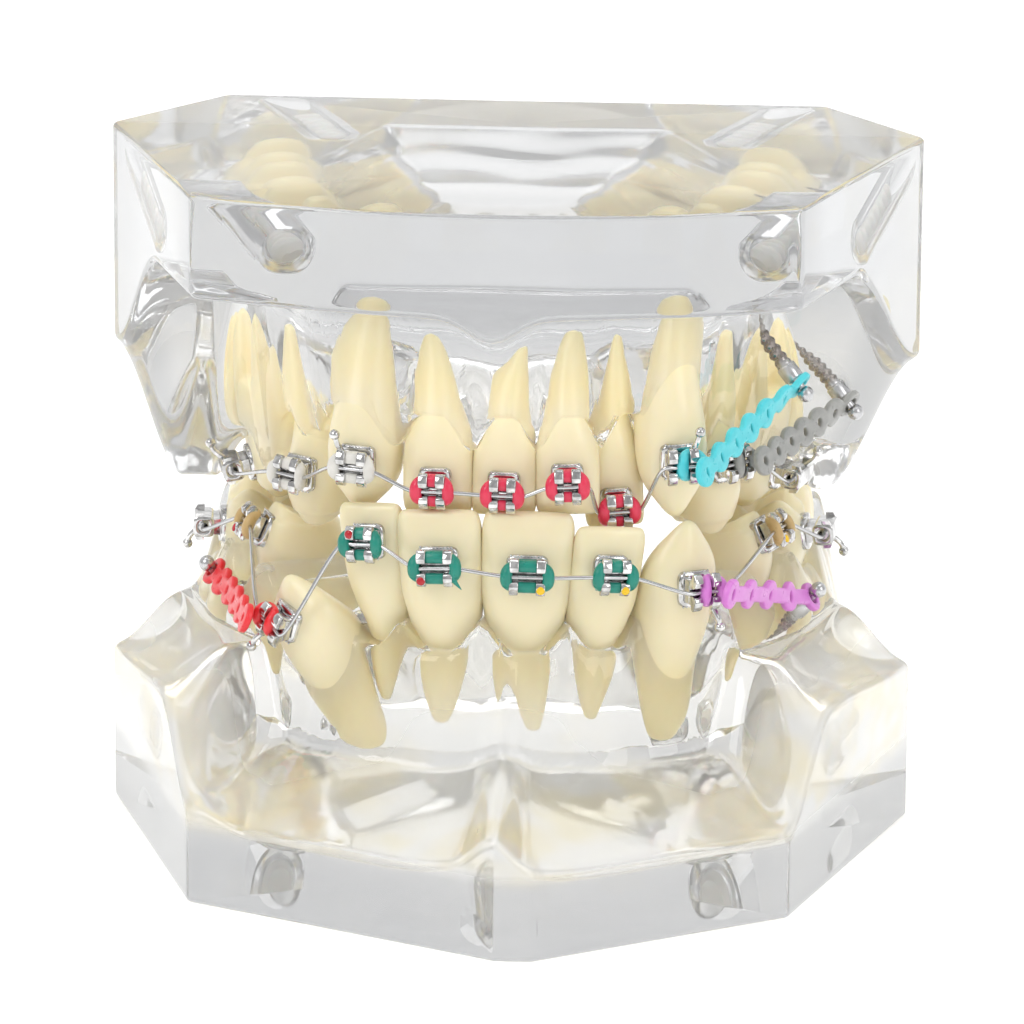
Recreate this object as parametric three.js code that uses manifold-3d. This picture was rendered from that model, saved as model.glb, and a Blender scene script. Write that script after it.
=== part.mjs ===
// Orthodontic typodont: two clear acrylic study casts, whole teeth cast into them, and a full
// set of brackets, archwires, elastic chains and anchor screws. Millimetres, +Z up, the front
// of the mouth at -Y. The cast of the upper jaw stands at the bottom, as on a bench.
import * as THREE from 'three';
import { mergeVertices } from 'three/addons/utils/BufferGeometryUtils.js';
import Module from 'manifold-3d';

const wasm = await Module();
wasm.setup();

// ---- Driving dimensions ----
const HEIGHT = 66;
const HALF_WIDTH = 39;
const HALF_DEPTH = 33;
const GAP = 0.3;
const WIRE_RADIUS = 0.2;
const SLOT_DEPTH = 1.65;
const PLUG_RADIUS = 2;
const PLUG_PLAY = 0.7;
const SPINE_FRONT = 4;
const SPINE_BACK = 22;

const CLEAR = { color: 0xe9ebe6, roughness: 0.05, metalness: 0 };
const IVORY = { color: 0xf1e6c0, roughness: 0.35, metalness: 0 };
const STEEL = { color: 0xb9babd, roughness: 0.2, metalness: 1 };
const NYLON = { color: 0xf4f2ec, roughness: 0.4, metalness: 0 };

const group = new THREE.Group();

// ---- Solids ----
// One closed surface: shared vertices merged, and triangles that fold onto a pole dropped.
function closed(geometry) {
  const bare = new THREE.BufferGeometry();
  bare.setAttribute('position', geometry.getAttribute('position'));
  bare.setIndex(geometry.getIndex());
  const merged = mergeVertices(bare, 1e-4);
  const index = merged.getIndex().array;
  const kept = [];
  for (let i = 0; i < index.length; i += 3) {
    const [a, b, c] = index.slice(i, i + 3);
    if (a !== b && b !== c && c !== a) kept.push(a, b, c);
  }
  merged.setIndex(kept);
  if (signedVolume(merged) < 0) merged.setIndex(kept.reverse());
  return merged;
}

function signedVolume(geometry) {
  const position = geometry.getAttribute('position');
  const index = geometry.getIndex();
  const corner = (k) => new THREE.Vector3().fromBufferAttribute(position, index.getX(k));
  let volume = 0;
  for (let k = 0; k < index.count; k += 3) {
    volume += corner(k).dot(corner(k + 1).cross(corner(k + 2))) / 6;
  }
  return volume;
}

function toManifold(geometry) {
  const merged = closed(geometry);
  const mesh = new wasm.Mesh({
    numProp: 3,
    vertProperties: new Float32Array(merged.getAttribute('position').array),
    triVerts: new Uint32Array(merged.getIndex().array),
  });
  return new wasm.Manifold(mesh);
}

function fromManifold(solid) {
  const pieces = solid.decompose();
  pieces.sort((a, b) => b.volume() - a.volume());
  const mesh = pieces[0].getMesh();
  const geometry = new THREE.BufferGeometry();
  geometry.setAttribute('position', new THREE.BufferAttribute(mesh.vertProperties, 3));
  geometry.setIndex(new THREE.BufferAttribute(mesh.triVerts, 1));
  return geometry;
}

function join(geometries) {
  return fromManifold(geometries.map(toManifold).reduce((sum, next) => sum.add(next)));
}

function place(name, geometry, look, matrix) {
  const mesh = new THREE.Mesh(geometry, new THREE.MeshStandardMaterial(look));
  mesh.name = name;
  if (matrix) {
    matrix.decompose(mesh.position, mesh.quaternion, mesh.scale);
  }
  group.add(mesh);
  return mesh;
}

const vector = (point) => new THREE.Vector3(...point);
const lerp = THREE.MathUtils.lerp;
const smooth = (value, from, to) => THREE.MathUtils.smoothstep(value, from, to);

// ---- Casts ----
// A cast is a trimmed block with one tall side, the alveolar ridge, that follows the dental
// arch. Its height is measured from the flat face that was trimmed on the grinder.
function mirrored(points) {
  const back = points.slice(1, -1).reverse().map(([x, y]) => [-x, y]);
  return [...points, ...back];
}

function subdivided(corners) {
  const outline = [];
  for (const [x, y, next, steps] of corners) {
    for (let i = 0; i < steps; i += 1) {
      outline.push([lerp(x, next[0], i / steps), lerp(y, next[1], i / steps)]);
    }
  }
  outline.push(corners.at(-1)[2]);
  return outline;
}

function archCurve(side) {
  const left = side.slice(1).reverse().map(([x, y]) => [-x, y]);
  const points = [...left, ...side].map(([x, y]) => new THREE.Vector3(x, y, 0));
  return new THREE.CatmullRomCurve3(points, false, 'centripetal').getSpacedPoints(120);
}

// Distance outward from the middle of the ridge: negative on the tongue side.
function ridgeDistance(arch, x, y) {
  let best = Infinity;
  let nearest = arch[0];
  for (const point of arch) {
    const distance = Math.hypot(point.x - x, point.y - y);
    if (distance < best) {
      best = distance;
      nearest = point;
    }
  }
  const centre = Math.min(Math.max(nearest.y, SPINE_FRONT), SPINE_BACK);
  const outward = nearest.x * (x - nearest.x) + (nearest.y - centre) * (y - nearest.y);
  return outward < 0 ? -best : best;
}

function ringDistances(cast, spine, rim) {
  const length = Math.hypot(rim[0] - spine[0], rim[1] - spine[1]);
  const at = (t) => [lerp(spine[0], rim[0], t), lerp(spine[1], rim[1], t)];
  const found = cast.rings.map((target, k) => {
    for (let t = 1; t > 0; t -= 0.5 / length) {
      if (ridgeDistance(cast.arch, ...at(t)) < target && t < 1) return t;
    }
    return 1 - (k + 1) / (cast.rings.length + 1);
  });
  const shelf = (1 + found[0]) / 2;
  const inner = found.at(-1) / 2;
  return [shelf, ...found, inner].map((t) => [...at(t), (1 - t) * length]);
}

function castGeometry(cast, toWorld) {
  const ringCount = cast.rings.length + 6;
  const profile = Array.from({ length: ringCount }, (_, j) => new THREE.Vector2(j + 1, j));
  const geometry = new THREE.LatheGeometry(profile, cast.outline.length);
  const position = geometry.getAttribute('position');
  for (let i = 0; i <= cast.outline.length; i += 1) {
    const rim = cast.outline[i % cast.outline.length];
    const spine = [0, Math.min(Math.max(rim[1], SPINE_FRONT), SPINE_BACK)];
    const inside = ringDistances(cast, spine, rim);
    const ring = [
      [...spine, 0],
      [...rim, 0],
      [...rim, cast.height(...rim, 0)],
      ...inside.map(([x, y, inset]) => [x, y, cast.height(x, y, inset)]),
      [...spine, cast.height(...spine, HALF_DEPTH)],
    ];
    ring.forEach(([x, y, z], j) => position.setXYZ(i * ringCount + j, x, y, toWorld(z)));
  }
  return geometry;
}

const bottomCast = {
  outline: subdivided([
    [4.9, -HALF_DEPTH, [28, -18.3], 6],
    [28, -18.3, [38.6, 14], 6],
    [38.6, 14, [30, HALF_DEPTH], 4],
    [30, HALF_DEPTH, [-30, HALF_DEPTH], 8],
    [-30, HALF_DEPTH, [-38.6, 14], 4],
    [-38.6, 14, [-28, -18.3], 6],
    [-28, -18.3, [1.7, -HALF_DEPTH], 6],
  ]),
  arch: archCurve([[0, -10.2], [8, -8.8], [14.5, -4], [18.6, 3], [21.3, 10], [23, 20], [24, 31]]),
  rings: [9, 6.6, 4.6, 2.8, -2.8, -5, -8],
  height(x, y, inset) {
    const distance = ridgeDistance(this.arch, x, y);
    const inner = smooth(inset, 0, 10);
    const side = smooth(y, lerp(-19, -9, inner), lerp(-7, -3, inner));
    const thickness = lerp(4.4, 6.2, smooth(y, -8, 12));
    const fold = Math.exp(-(((x - 1.3) / 2.2) ** 2));
    const frenum = fold * lerp(2.2, 1.4, smooth(y, -HALF_DEPTH, -15));
    const rim = 7.8 + 1.5 * Math.exp(-(((x - 1.3) / 5) ** 2)) + 1.4 * smooth(-x, 22, 27);
    const share = inset / Math.max(inset + distance - 6, 0.1);
    const front = lerp(rim, 13.3, Math.min(share, 1)) + (y < -10 ? frenum : 0);
    const shelf = lerp(lerp(17.5, 15.5, smooth(y, -7, 14)), 21, smooth(inset, 0, 7));
    const outer = lerp(front, shelf, side);
    const crest = lerp(24.6, 25.6, side);
    if (distance >= 0) {
      return lerp(crest, outer, smooth(distance, thickness - 0.8, thickness + 2.2));
    }
    const vault = lerp(17, 12, smooth(y, -6, 10));
    return lerp(crest, vault, smooth(-distance, thickness - 1.2, thickness + 4));
  },
};

function frontArc(halfWidth, y, bulge, steps) {
  const points = [];
  for (let i = 0; i < steps; i += 1) {
    const x = (halfWidth * i) / steps;
    points.push([x, y - bulge * (1 - (x / halfWidth) ** 2)]);
  }
  return points;
}

const topCast = {
  outline: mirrored([
    ...frontArc(28.1, -11.9, 5.7, 6),
    ...subdivided([
      [28.1, -11.9, [HALF_WIDTH, 19.5], 6],
      [HALF_WIDTH, 19.5, [29.5, HALF_DEPTH], 4],
      [29.5, HALF_DEPTH, [0, HALF_DEPTH], 4],
    ]),
  ]),
  arch: archCurve([[0, -8.4], [7, -7.6], [13, -4.4], [17, 2.5], [20, 11], [22, 20], [23.4, 30.5]]),
  rings: [8.6, 6.4, 4.4, 2.6, -2.6, -4.8, -7.6],
  height(x, y, inset) {
    const distance = ridgeDistance(this.arch, x, y);
    const heel = smooth(y, 2, 19);
    const thickness = lerp(4.2, 5.3, smooth(y, -8, 12));
    const frenum = 2.2 * Math.exp(-((x / 3) ** 2));
    const front = 9.8 + 0.1 * Math.max(10 - distance, 0) + (y < -6 ? frenum : 0);
    const rim = lerp(9.8, 21.5, heel);
    const lobe = lerp(rim, lerp(9, 34.8, heel), smooth(inset, 0, x < 0 ? 6.4 : 9));
    const outer = lerp(front, lobe, smooth(y, -2, 3));
    const crest = lerp(lerp(21.5, 29.3, smooth(y, -6, 8)), 33.4, smooth(y, 26, 31));
    if (distance >= 0) {
      return lerp(crest, outer, smooth(distance, thickness - 0.8, thickness + 2));
    }
    const floor = lerp(17, 15, smooth(y, -6, 10));
    return lerp(crest, floor, smooth(-distance, thickness - 1.2, thickness + 4));
  },
};

// ---- Teeth ----
// A tooth stands on its own axis from the root apex to the cusp or incisal edge. Each ring of
// its shape gives a height, then a half width and the half depths towards cheek and tongue.
const SHAPES = {
  incisor: [
    [-1, 0, 0, 0], [-0.95, 0.19, 0.2, 0.2], [-0.55, 0.5, 0.55, 0.55], [0, 0.8, 0.86, 0.86],
    [0.35, 0.92, 0.86, 0.74], [0.7, 0.99, 0.58, 0.34], [0.97, 0.96, 0.24, 0.18], [1, 0, 0, 0],
  ],
  canine: [
    [-1, 0, 0, 0], [-0.95, 0.38, 0.38, 0.38], [-0.55, 0.72, 0.7, 0.7], [0, 0.9, 0.92, 0.92],
    [0.35, 0.98, 0.94, 0.84], [0.66, 0.92, 0.66, 0.48], [0.9, 0.4, 0.3, 0.25], [1, 0, 0, 0],
  ],
  premolar: [
    [-1, 0, 0, 0], [-0.95, 0.3, 0.32, 0.32], [-0.5, 0.68, 0.66, 0.66], [0, 0.9, 0.88, 0.88],
    [0.45, 1, 1, 0.96], [0.82, 0.84, 0.8, 0.72], [1, 0.4, 0.52, 0.4], [0.88, 0, 0, 0],
  ],
  molar: [
    [-1, 0, 0, 0], [-1, 0.5, 0.44, 0.44], [-0.5, 0.8, 0.76, 0.76], [0, 0.9, 0.9, 0.9],
    [0.4, 1, 1, 0.96], [0.82, 0.94, 0.9, 0.86], [1, 0.68, 0.64, 0.6], [0.82, 0, 0, 0],
  ],
};

// Axes of a tooth: x along the arch, -y out to the cheek or lip, z to the cusp.
function axisMatrix(origin, up, yaw) {
  const facing = new THREE.Vector3(Math.sin(yaw), -Math.cos(yaw), 0);
  const across = new THREE.Vector3().crossVectors(up, facing).normalize();
  const inward = new THREE.Vector3().crossVectors(up, across).normalize();
  return new THREE.Matrix4().makeBasis(across, inward, up).setPosition(origin);
}

// A turned piece: its own z axis laid along a direction.
function turnedMatrix(origin, up) {
  const turn = new THREE.Quaternion().setFromUnitVectors(vector([0, 0, 1]), up);
  return new THREE.Matrix4().compose(origin, turn, vector([1, 1, 1]));
}

function toothFrame(tooth) {
  const tip = vector(tooth.tip);
  const apex = vector(tooth.apex);
  const up = tip.clone().sub(apex).normalize();
  const neck = tip.clone().addScaledVector(up, -tooth.crown);
  return { neck, up, root: tip.distanceTo(apex) - tooth.crown };
}

function toothGeometry(tooth, grow) {
  const { root } = toothFrame(tooth);
  const rings = SHAPES[tooth.shape];
  const profile = rings.map((_, j) => new THREE.Vector2(j % (rings.length - 1) ? 1 : 0, j));
  const sides = 10;
  const geometry = new THREE.LatheGeometry(profile, sides);
  const position = geometry.getAttribute('position');
  for (let i = 0; i <= sides; i += 1) {
    const angle = ((i % sides) / sides) * 2 * Math.PI;
    rings.forEach(([level, wide, cheek, tongue], j) => {
      const pole = j === 0 || j === rings.length - 1;
      const depth = Math.cos(angle) > 0 ? tongue : cheek;
      const swell = pole ? 0 : grow;
      const x = Math.sin(angle) * ((wide * tooth.width) / 2 + swell);
      const y = Math.cos(angle) * ((depth * tooth.depth) / 2 + swell);
      const z = level < 0 ? level * root - (level < -0.9 ? grow : 0) : level * tooth.crown;
      position.setXYZ(i * rings.length + j, x, y, z);
    });
  }
  return geometry;
}

// tip and apex are the two ends of the tooth, yaw the way its outer face looks in degrees from
// the front, and size its width, its depth and the height of its crown. A bonded tooth also has
// its fitting, with the height of the fitting's middle and its roll in degrees.
function tooth(name, shape, tip, apex, yaw, [width, depth, crown], bonded = {}) {
  const { fitting = null, fittingZ = 0, roll = 0 } = bonded;
  const turns = { yaw: THREE.MathUtils.degToRad(yaw), roll: THREE.MathUtils.degToRad(roll) };
  return { name, shape, tip, apex, width, depth, crown, fitting, fittingZ, ...turns };
}

// The first premolars are missing from both arches, and one canine of the bottom arch has
// come through high on the gum, as in a crowded mouth under treatment.
const bottomTeeth = [
  tooth('molar2_left', 'molar', [-23.8, 26.5, 31], [-23.4, 25.8, 13], -88, [9, 10, 7]),
  tooth('molar1_left', 'molar', [-23, 16.6, 31.2], [-22.6, 16.4, 12.5], -84, [9.8, 10.4, 7.2],
    { fitting: 'tube', fittingZ: 27.4 }),
  tooth('premolar_left', 'premolar', [-19.7, 7.6, 31.6], [-18.8, 7, 14.5], -72, [6.8, 9, 7.8],
    { fitting: 'bracket', fittingZ: 29.8 }),
  tooth('canine_left', 'canine', [-19.2, -9.6, 29.4], [-10.6, -5.6, 12], -48, [7.8, 7.8, 9.5],
    { fitting: 'hook', fittingZ: 26.6, roll: 30 }),
  tooth('lateral_left', 'incisor', [-11.6, -10.6, 36.9], [-8.6, -6.6, 17], -18, [6, 6.2, 10.5],
    { fitting: 'bracket', fittingZ: 34 }),
  tooth('central_left', 'incisor', [-5.1, -12.4, 36.9], [-3.9, -7.8, 15.2], -5, [7.5, 7, 11.5],
    { fitting: 'bracket', fittingZ: 32.6 }),
  tooth('central_right', 'incisor', [3.3, -12.4, 36.9], [2.3, -7.8, 14.6], 4, [8.2, 7, 11.5],
    { fitting: 'bracket', fittingZ: 32 }),
  tooth('lateral_right', 'incisor', [10.9, -11.6, 35.4], [7.6, -6.8, 15.6], 18, [6.4, 6.2, 10.5],
    { fitting: 'bracket', fittingZ: 31.9 }),
  tooth('canine_right', 'canine', [17.9, -9, 35.4], [13.6, -5, 13.2], 36, [7.2, 8, 12.5],
    { fitting: 'hook', fittingZ: 30.2 }),
  tooth('premolar_right', 'premolar', [21.2, 7.6, 31.8], [19.8, 7, 14.5], 72, [6.8, 9, 7.8],
    { fitting: 'bracket', fittingZ: 30.4 }),
  tooth('molar1_right', 'molar', [23.4, 16.6, 31.2], [22.8, 16.4, 12.5], 84, [9.8, 10.4, 7.2],
    { fitting: 'tube', fittingZ: 28 }),
  tooth('molar2_right', 'molar', [24, 26.5, 31], [23.6, 25.8, 13], 88, [9, 10, 7]),
];

const topTeeth = [
  tooth('molar2_left', 'molar', [-22.2, 23.6, 32], [-22.2, 24, 49.5], -84, [10, 9.6, 6.2]),
  tooth('molar1_left', 'molar', [-20.2, 12.6, 32], [-20.4, 12.8, 50.5], -78, [10.6, 10, 6.4],
    { fitting: 'tube', fittingZ: 34.6 }),
  tooth('premolar_left', 'premolar', [-16.8, 2.2, 32], [-16.6, 2.4, 51.5], -36, [6.8, 7.8, 7.4],
    { fitting: 'bracket', fittingZ: 37 }),
  tooth('canine_left', 'canine', [-12.6, -8.2, 35.6], [-11, -4, 56], -12, [7, 7.8, 10.8],
    { fitting: 'hook', fittingZ: 40 }),
  tooth('incisor2_left', 'incisor', [-5.3, -10.2, 36], [-5.1, -6.6, 53.4], -6, [6.2, 6, 8.8],
    { fitting: 'bracket', fittingZ: 38.6 }),
  tooth('incisor1_left', 'incisor', [0.8, -10.5, 36], [1.2, -6.8, 52.4], 0, [5.7, 6, 8.8],
    { fitting: 'bracket', fittingZ: 38.4 }),
  tooth('incisor1_right', 'incisor', [6.8, -10.4, 36.2], [5.9, -6.2, 54], 4, [5.6, 6, 8.8],
    { fitting: 'bracket', fittingZ: 39.2 }),
  tooth('incisor2_right', 'incisor', [11, -6.8, 34.2], [9.4, -3.4, 53], 12, [5.2, 5.6, 8.8],
    { fitting: 'bracket', fittingZ: 36.2 }),
  tooth('canine_right', 'canine', [16.6, -8, 35.6], [14.8, -3.4, 56.5], 16, [6.4, 7.6, 12.4],
    { fitting: 'hook', fittingZ: 40.6 }),
  tooth('premolar_right', 'premolar', [18.5, 2.2, 32], [18, 2.6, 51.5], 46, [6.8, 7.8, 7.4],
    { fitting: 'bracket', fittingZ: 38.6 }),
  tooth('molar1_right', 'molar', [21, 12.8, 32], [20.8, 13, 50.5], 74, [10.6, 10, 6.4],
    { fitting: 'tube', fittingZ: 34.9 }),
  tooth('molar2_right', 'molar', [22.6, 23.8, 32], [22.4, 24.2, 49.5], 84, [10, 9.6, 6.2]),
];

// ---- Brackets and molar tubes ----
const BRACKET = { width: 4, height: 3.5, base: 0.8, wing: 1.1, wingOffset: 1.05, ends: 1.8 };
const PAD_REACH = 1.4;
const TUBE = { width: 4.6, height: 3.4, length: 4.2, side: 2.1, bore: 1, ends: 2.9 };

// The side of a fitting that looks to the back of the mouth, along its own x axis.
function distalSign(item) {
  return Math.sign(item.tip[0]) * Math.sign(toothFrame(item).up.z);
}

// Half depth of the outer face at a height given as a share of the crown.
function cheekDepth(item, level) {
  const rings = SHAPES[item.shape];
  const upper = rings.findIndex(([height], k) => height > level || k === rings.length - 2);
  const [low, , lowDepth] = rings[upper - 1];
  const [high, , highDepth] = rings[upper];
  return (lerp(lowDepth, highDepth, (level - low) / (high - low)) * item.depth) / 2;
}

// Axes of a bonded fitting: origin on the crown, -y outward, x along the wire slot.
function fittingMatrix(item) {
  const { neck, up } = toothFrame(item);
  const level = (item.fittingZ - neck.z) / up.z;
  const origin = neck.clone().addScaledVector(up, level);
  const matrix = axisMatrix(origin, up, item.yaw);
  const depths = [-1, 0, 1].map((end) => cheekDepth(item, (level + end * PAD_REACH) / item.crown));
  const slope = (depths[2] - depths[0]) / (2 * PAD_REACH);
  const proud = Math.max(depths[1], (depths[0] + depths[2]) / 2) + GAP;
  return matrix
    .multiply(new THREE.Matrix4().makeTranslation(0, -proud, 0))
    .multiply(new THREE.Matrix4().makeRotationX(Math.atan(slope)))
    .multiply(new THREE.Matrix4().makeRotationY(item.roll));
}

function alongX(shape, width, centre) {
  const options = { depth: width, bevelEnabled: false, curveSegments: 8 };
  const geometry = new THREE.ExtrudeGeometry(shape, options);
  const axes = new THREE.Matrix4().makeBasis(vector([0, 1, 0]), vector([0, 0, 1]), vector([1, 0, 0]));
  return geometry.applyMatrix4(axes).translate(centre - width / 2, 0, 0);
}

function padGeometry(width, height) {
  return new THREE.BoxGeometry(width, BRACKET.base, height).translate(0, -BRACKET.base / 2, 0);
}

function wingShape() {
  const half = [[-1, 1.2], [-1.3, 1.9], [-1.9, 1.8], [-2.25, 1.2], [-2.25, 0.5], [-1.1, 0.5]];
  const shape = new THREE.Shape([new THREE.Vector2(-0.1, 1.2)]);
  const upper = half.map(([y, z]) => new THREE.Vector2(y, z));
  const lower = half.map(([y, z]) => new THREE.Vector2(y, -z)).reverse();
  [...upper, ...lower, new THREE.Vector2(-0.1, -1.2)].forEach((p) => shape.lineTo(p.x, p.y));
  return shape;
}

// A ball hook on the gum side, set towards the back of the mouth.
function hookGeometries(root, ball) {
  const from = vector(root);
  const to = vector(ball);
  const arm = new THREE.CylinderGeometry(0.26, 0.3, from.distanceTo(to), 6);
  const along = to.clone().sub(from).normalize();
  const turn = new THREE.Quaternion().setFromUnitVectors(vector([0, 1, 0]), along);
  arm.applyQuaternion(turn).translate(...from.clone().lerp(to, 0.5).toArray());
  return [arm, new THREE.SphereGeometry(0.52, 7, 5).translate(...ball)];
}

function bracketGeometry(distal, hooked) {
  const pieces = [padGeometry(BRACKET.width, BRACKET.height)];
  for (const side of [-1, 1]) {
    pieces.push(alongX(wingShape(), BRACKET.wing, side * BRACKET.wingOffset));
  }
  if (hooked) pieces.push(...hookGeometries([distal, -1.2, -1.4], [distal * 1.5, -1.9, -3.4]));
  return join(pieces);
}

function tubeGeometry(distal) {
  const half = TUBE.side / 2;
  const [outer, inner] = [-SLOT_DEPTH - half, -SLOT_DEPTH + half];
  const corner = 0.5;
  const outline = [
    [outer + corner, -half], [inner, -half], [inner, half],
    [outer + corner, half], [outer, half - corner], [outer, corner - half],
  ];
  const shape = new THREE.Shape(outline.map(([y, z]) => new THREE.Vector2(y, z)));
  const bore = new THREE.Path();
  bore.absarc(-SLOT_DEPTH, 0, TUBE.bore / 2, 0, 2 * Math.PI);
  shape.holes.push(bore);
  const hook = hookGeometries([distal * 0.6, -2.3, -0.8], [distal * 0.9, -3.2, -2.4]);
  return join([padGeometry(TUBE.width, TUBE.height), alongX(shape, TUBE.length, 0), ...hook]);
}

// ---- Archwires ----
function wireGeometry(points) {
  const curve = new THREE.CatmullRomCurve3(points, false, 'centripetal');
  const section = new THREE.Shape();
  for (let i = 0; i < 6; i += 1) {
    const angle = (i * Math.PI) / 3;
    const method = i === 0 ? 'moveTo' : 'lineTo';
    section[method](WIRE_RADIUS * Math.cos(angle), WIRE_RADIUS * Math.sin(angle));
  }
  return new THREE.ExtrudeGeometry(section, { steps: 80, extrudePath: curve, bevelEnabled: false });
}

function wirePoints(teeth) {
  return teeth.filter((item) => item.fitting).flatMap((item) => {
    const matrix = fittingMatrix(item);
    const reach = item.fitting === 'tube' ? TUBE.ends : BRACKET.ends;
    const rightward = Math.sign(toothFrame(item).up.z);
    const inSlot = (x) => vector([x * rightward * reach, -SLOT_DEPTH, 0]).applyMatrix4(matrix);
    return [-1, -0.4, 0.4, 1].map(inSlot);
  });
}

// ---- Anchor screws ----
const SCREW = [[0, 0], [0.22, 0.5], [0.7, 3.2], [0.75, 6.6], [0.92, 6.7], [0.92, 8.2], [0.42, 8.5],
  [0.42, 9.3], [0.74, 9.7], [0.74, 10.2], [0.4, 10.6], [0, 10.7]];
const SCREW_NECK = 8.9;

function screwFrame(screw) {
  const tip = vector(screw.tip);
  const up = vector(screw.ball).sub(tip).normalize();
  const origin = vector(screw.ball).addScaledVector(up, -9.95);
  return turnedMatrix(origin, up);
}

function screwGeometry(grow) {
  const profile = SCREW.map(([radius, level]) => new THREE.Vector2(radius ? radius + grow : 0, level));
  return new THREE.LatheGeometry(profile, 8).rotateX(Math.PI / 2);
}

// ---- Elastic chains ----
// A strip of rings moulded in one piece, hooked over a screw head and tied to a bracket.
const CHAIN = { ring: 1.4, hole: 0.62, lastHole: 1, web: 0.75, thickness: 0.6 };
const CHAIN_START = { along: 1.7, out: 3.3 };

// The strip lies flat on the bracket at one end and square to the screw at the other.
function chainGeometry(from, to, [firstNormal, lastNormal], rings) {
  const length = from.distanceTo(to);
  const pitch = length / (rings - 1);
  const waist = Math.max(CHAIN.web, Math.sqrt(Math.max(CHAIN.ring ** 2 - (pitch / 2) ** 2, 0)));
  const reach = Math.acos(waist / CHAIN.ring);
  const upper = [];
  for (let i = 0; i < rings; i += 1) {
    const start = i === 0 ? -Math.PI / 2 : -reach;
    const end = i === rings - 1 ? Math.PI / 2 : reach;
    for (let k = 0; k <= 2; k += 1) {
      const angle = lerp(start, end, k / 2);
      upper.push([i * pitch + CHAIN.ring * Math.sin(angle), CHAIN.ring * Math.cos(angle)]);
    }
  }
  const lower = upper.slice(1, -1).reverse().map(([u, v]) => [u, -v]);
  const shape = new THREE.Shape([...upper, ...lower].map(([u, v]) => new THREE.Vector2(u, v)));
  for (let i = 0; i < rings; i += 1) {
    const hole = new THREE.Path();
    const last = i === rings - 1;
    hole.absarc(i * pitch, 0, last ? CHAIN.lastHole : CHAIN.hole, 0, 2 * Math.PI);
    shape.holes.push(hole);
  }
  const along = to.clone().sub(from).normalize();
  const options = { depth: CHAIN.thickness, bevelEnabled: false, curveSegments: 4 };
  const geometry = new THREE.ExtrudeGeometry(shape, options).translate(0, 0, -CHAIN.thickness / 2);
  const position = geometry.getAttribute('position');
  for (let i = 0; i < position.count; i += 1) {
    const flat = new THREE.Vector3().fromBufferAttribute(position, i);
    const face = firstNormal.clone().lerp(lastNormal, smooth(flat.x / length, 0.4, 1));
    face.addScaledVector(along, -face.dot(along)).normalize();
    const across = new THREE.Vector3().crossVectors(face, along);
    const point = from.clone().addScaledVector(along, flat.x);
    point.addScaledVector(across, flat.y).addScaledVector(face, flat.z);
    position.setXYZ(i, point.x, point.y, point.z);
  }
  return geometry;
}

// ---- Plugs ----
// White nylon plugs close the blind holes that held each cast in its mould.
function plugFrame(plug) {
  const inner = vector(plug.inner);
  const up = vector(plug.outer).sub(inner);
  const length = up.length();
  return { length, matrix: turnedMatrix(inner, up.normalize()) };
}

function plugSolid(plug, grow, length) {
  const { matrix } = plugFrame(plug);
  const radius = PLUG_RADIUS + grow;
  const profile = [[0, -grow], [radius - 0.8, -grow], [radius, 0.8 - grow], [radius, length], [0, length]];
  const points = profile.map(([x, y]) => new THREE.Vector2(x, y));
  return new THREE.LatheGeometry(points, 12).rotateX(Math.PI / 2).applyMatrix4(matrix);
}

// ---- Assembly ----
const screws = {
  top: [
    { name: 'screw_front', ball: [28.3, 4, 44.5], tip: [23.6, 5.6, 50.4] },
    { name: 'screw_back', ball: [32.9, 12, 40.8], tip: [27.6, 12.8, 47.2] },
  ],
  bottom: [
    { name: 'screw_left', ball: [-28.6, 6, 26], tip: [-23.6, 6.8, 20.2] },
    { name: 'screw_right', ball: [29.8, 6, 24.8], tip: [24.4, 6.8, 19.2] },
  ],
};

const plugs = {
  top: [
    { name: 'plug_left', inner: [-17, 23, 55], outer: [-24, 34.7, 62.5], length: 9 },
    { name: 'plug_right', inner: [19, 23, 55], outer: [26, 34.7, 62.5], length: 9 },
  ],
  bottom: [
    { name: 'plug_left', inner: [-13.2, 24, 5.2], outer: [-13.2, 36, 5.2], length: 8.6 },
    { name: 'plug_right', inner: [9.5, 24, 5.2], outer: [9.5, 36, 5.2], length: 8.6 },
  ],
};

function buildJaw(jaw, cast, teeth, toWorld) {
  let solid = toManifold(castGeometry(cast, toWorld));
  for (const item of teeth) {
    const { neck, up } = toothFrame(item);
    const matrix = axisMatrix(neck, up, item.yaw);
    solid = solid.subtract(toManifold(toothGeometry(item, GAP).applyMatrix4(matrix)));
    place(`${jaw}_${item.name}`, closed(toothGeometry(item, 0)), IVORY, matrix);
  }
  for (const screw of screws[jaw]) {
    const matrix = screwFrame(screw);
    solid = solid.subtract(toManifold(screwGeometry(GAP).applyMatrix4(matrix)));
    place(`${jaw}_${screw.name}`, closed(screwGeometry(0)), STEEL, matrix);
  }
  for (const plug of plugs[jaw]) {
    solid = solid.subtract(toManifold(plugSolid(plug, PLUG_PLAY, plugFrame(plug).length)));
    place(`${jaw}_${plug.name}`, closed(plugSolid(plug, 0, plug.length)), NYLON);
  }
  place(`${jaw}_cast`, fromManifold(solid), CLEAR);

  for (const item of teeth.filter(({ fitting }) => fitting)) {
    const distal = distalSign(item);
    const tube = item.fitting === 'tube';
    const geometry = tube ? tubeGeometry(distal) : bracketGeometry(distal, item.fitting === 'hook');
    const name = `${jaw}_${tube ? 'tube' : 'bracket'}_${item.name}`;
    place(name, geometry, STEEL, fittingMatrix(item));
  }
  place(`${jaw}_archwire`, closed(wireGeometry(wirePoints(teeth))), STEEL);
}

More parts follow.
